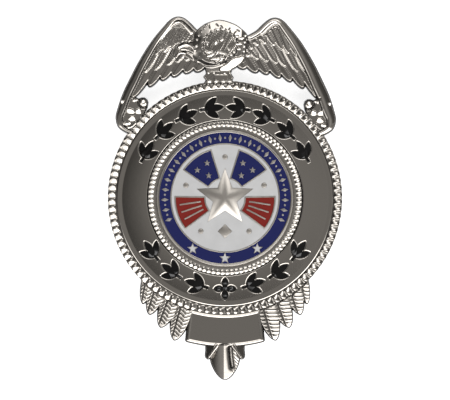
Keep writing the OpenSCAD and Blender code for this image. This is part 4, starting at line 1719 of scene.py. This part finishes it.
# Brightness of the tent's panels round the badge, by degrees from +X towards +Y
PANELS = [
    (0, 0.06), (16, 0.04), (32, 0.03), (42, 0.05), (50, 0.25), (58, 0.7), (98, 0.7), (112, 0.35),
    (126, 0.18), (140, 0.05), (152, 0.0), (168, 0.02), (184, 0.03), (198, 0.07), (207, 0.45), (214, 0.6),
    (224, 0.45), (236, 0.3), (248, 0.4), (256, 1.0), (327, 1.0), (335, 0.3), (343, 0.06), (352, 0.04),
    (360, 0.06),
]
# Share of a panel's light by the height of its direction, as a sine, towards the badge's foot and its head
FOOT_HEIGHTS = [(0.0, 0.0), (0.34, 0.0), (0.48, 1.0), (0.866, 1.0), (0.927, 0.0), (1.0, 0.0)]
HEAD_HEIGHTS = [(0.0, 0.0), (0.60, 0.0), (0.72, 1.0), (0.866, 1.0), (0.927, 0.0), (1.0, 0.0)]
# Share of the cloth's light that the dark cards at the two sides keep off, by direction and by height
CARDS = [
    (0, 0.7), (30, 0.7), (50, 0.0), (128, 0.0), (142, 0.7), (190, 0.7), (200, 0.0), (334, 0.0), (344, 0.7),
    (360, 0.7),
]
CARD_HEIGHTS = [(0.0, 1.0), (0.70, 1.0), (0.90, 0.0), (1.0, 0.0)]
# Share of the cloth's light that the dark frame of the tent's opening keeps off, by direction and by height
FRAME = [
    (0, 0.12), (30, 0.15), (60, 0.4), (80, 0.5), (100, 0.5), (130, 0.55), (160, 0.65), (200, 0.65),
    (240, 0.5), (260, 0.5), (280, 0.5), (300, 0.4), (325, 0.2), (345, 0.12), (360, 0.12),
]
FRAME_HEIGHTS = [
    (0.0, 0.0), (0.88, 0.0), (0.925, 1.0), (0.944, 1.0), (0.968, 0.52), (0.985, 0.05), (0.995, 0.0),
]
# Brightness of the cloth of the tent by height, as a sine
TENT = [(0.0, 0.10), (0.15, 0.10), (0.35, 0.20), (0.60, 0.24), (0.85, 0.235), (1.0, 0.225)]


@dataclass
class Studio:
    """White paper ground, a camera straight above the badge, and a tent of soft light."""

    # In metres: from the camera to the face, height of the face, width seen at it, and the view's shift
    distance: float = 0.6
    face_height: float = 0.0058
    frame_width: float = 0.09765
    offset_y: float = -0.00043
    floor_size: float = 3.0
    sensor_mm: float = 36.0
    clip: Point = (0.01, 10.0)
    power: float = 3.3
    side_light: float = 0.4
    # Share of red, green and blue in the light of the cloth
    warmth: tuple[float, float, float] = (1.0, 0.985, 0.965)

    def floor(self, material: bpy.types.Material) -> None:
        """Lays the paper.

        Args:
            material: The paper's material.
        """
        bm = bmesh.new()
        bmesh.ops.create_grid(bm, x_segments=8, y_segments=8, size=self.floor_size / 2)
        mesh = bpy.data.meshes.new("studio_floor")
        bm.to_mesh(mesh)
        bm.free()
        mesh.materials.append(material)
        ground = bpy.data.objects.new("studio_floor", mesh)
        bpy.context.scene.collection.objects.link(ground)

    def camera(self) -> None:
        """Hangs the camera straight above the badge, with a long lens."""
        data = bpy.data.cameras.new("camera")
        data.sensor_width = self.sensor_mm
        data.lens = data.sensor_width * self.distance / self.frame_width
        data.clip_start, data.clip_end = self.clip
        eye = bpy.data.objects.new("camera", data)
        eye.location = (0, self.offset_y, self.distance + self.face_height)
        bpy.context.scene.collection.objects.link(eye)
        bpy.context.scene.camera = eye

    def light(self) -> None:
        """Sets the tent of light: grey cloth, darkest at the horizon, with bright panels round it."""
        scene = bpy.context.scene
        world = bpy.data.worlds.new("light_tent")
        world.use_nodes = True
        scene.world = world
        tree = world.node_tree
        back = tree.nodes["Background"]
        way = add_node(tree, "ShaderNodeTexCoord").outputs["Generated"]
        part = add_node(tree, "ShaderNodeSeparateXYZ", {0: way})
        tent = add_node(tree, "ShaderNodeValToRGB", {0: part.outputs["Z"]})
        set_ramp(tent, [(place, (*[v * share for share in self.warmth], 1)) for place, v in TENT])
        angle = add_node(tree, "ShaderNodeMath", {0: part.outputs["Y"], 1: part.outputs["X"]},
                         operation="ARCTAN2")
        turn = add_node(tree, "ShaderNodeMath", {0: angle.outputs[0], 1: 1 / (2 * math.pi)},
                        operation="MULTIPLY")
        whole = add_node(tree, "ShaderNodeMath", {0: turn.outputs[0]}, operation="FRACT")
        panels, cards, frame_sides = [add_node(tree, "ShaderNodeValToRGB", {0: whole.outputs[0]})
                                      for _ in range(3)]
        for ramp, stops in ((panels, PANELS), (cards, CARDS), (frame_sides, FRAME)):
            set_ramp(ramp, [(deg / 360, (v, v, v, 1)) for deg, v in stops])
        foot, head, low, high = [add_node(tree, "ShaderNodeValToRGB", {0: part.outputs["Z"]})
                                 for _ in range(4)]
        for ramp, stops in ((foot, FOOT_HEIGHTS), (head, HEAD_HEIGHTS), (low, CARD_HEIGHTS),
                            (high, FRAME_HEIGHTS)):
            set_ramp(ramp, [(place, (v, v, v, 1)) for place, v in stops])
        upper = add_node(tree, "ShaderNodeMath", {0: part.outputs["Y"], 1: 0.0}, operation="GREATER_THAN")
        heights = add_node(tree, "ShaderNodeMix", {"Factor": upper.outputs[0], "A": foot.outputs["Color"],
                                                   "B": head.outputs["Color"]}, data_type="FLOAT")
        kept = add_node(tree, "ShaderNodeMath", {0: cards.outputs["Color"], 1: low.outputs["Color"]},
                        operation="MULTIPLY")
        framed = add_node(tree, "ShaderNodeMath", {0: frame_sides.outputs["Color"], 1: high.outputs["Color"]},
                          operation="MULTIPLY")
        off = add_node(tree, "ShaderNodeMath", {0: kept.outputs[0], 1: framed.outputs[0]})
        open_share = add_node(tree, "ShaderNodeMath", {0: 1.0, 1: off.outputs[0]}, operation="SUBTRACT")
        tilt = add_node(tree, "ShaderNodeMath", {0: part.outputs["X"], 1: self.side_light, 2: 1.0},
                        operation="MULTIPLY_ADD")
        share = add_node(tree, "ShaderNodeMath", {0: open_share.outputs[0], 1: tilt.outputs[0]},
                         operation="MULTIPLY")
        cloth = add_node(tree, "ShaderNodeVectorMath", {0: tent.outputs["Color"], "Scale": share.outputs[0]},
                         operation="SCALE")
        lit = add_node(tree, "ShaderNodeVectorMath", {0: panels.outputs["Color"], 1: heights.outputs[0]},
                       operation="MULTIPLY")
        strong = add_node(tree, "ShaderNodeVectorMath", {0: lit.outputs[0], "Scale": self.power},
                          operation="SCALE")
        both = add_node(tree, "ShaderNodeVectorMath", {0: cloth.outputs[0], 1: strong.outputs[0]},
                        operation="ADD")
        tree.links.new(both.outputs[0], back.inputs["Color"])
        scene.view_settings.view_transform = "Standard"


def dress(material: bpy.types.Material, *nodes: str) -> None:
    """Gives CAD nodes that keep their own shapes their finish.

    Args:
        material: Their material.
        *nodes: Their names.
    """
    for node in nodes:
        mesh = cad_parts[node].data
        mesh.materials.clear()
        mesh.materials.append(material)
        log.info("%s: dressed in %s", node, material.name)


def main() -> None:
    """Builds the badge's sub-assemblies in order, then the studio."""
    logging.basicConfig(level=logging.INFO, format="%(name)s: %(message)s")
    nickel = PolishedNickel().make()
    struck = PolishedNickel(name="struck_nickel", slot="polished_nickel", roughness=0.34).make()
    steel = NickelledSteel().make()
    blue = HardEnamel("blue_enamel", EnamelColour.BLUE).make()
    red = HardEnamel("red_enamel", EnamelColour.RED).make()
    white = HardEnamel("white_enamel", EnamelColour.WHITE).make()
    black = HardEnamel("black_enamel", EnamelColour.BLACK).make()

    sprigs = LaurelSprigs()
    body = RoundShield()
    body.make(sprigs, nickel)
    sprigs.make(body, black)
    Rope("outer_rope", crest=24.72, top=2.66, inner=1.1, outer=0.76, inner_fall=0.48, outer_fall=0.38,
         groove=0.44, strands=100, around=26).make(nickel)
    Rope("inner_rope", crest=16.06, top=3.33, inner=0.64, outer=0.64, inner_fall=0.24, outer_fall=0.24,
         groove=0.2, strands=100, around=16, per_strand=8, steep=0.32, inner_fade=0.8, nick=0.03,
         depth=0.4).make(nickel)
    for part in (Wings(), EagleHead(), RibbedLeaves(), Plaque(), Bud()):
        part.make(nickel)
    seal = Seal()
    seal.make(struck)
    seal.rim(nickel)
    dress(steel, "brooch_pin")
    dress(blue, "blue_ring", "blue_ray_1", "blue_ray_2")
    dress(red, "red_ray_1", "red_ray_2")
    dress(white, "white_field", "white_star_1", "white_star_2", "white_star_3")

    studio = Studio()
    studio.floor(StudioPaper().make())
    studio.camera()
    studio.light()


if __name__ == "__main__":
    main()
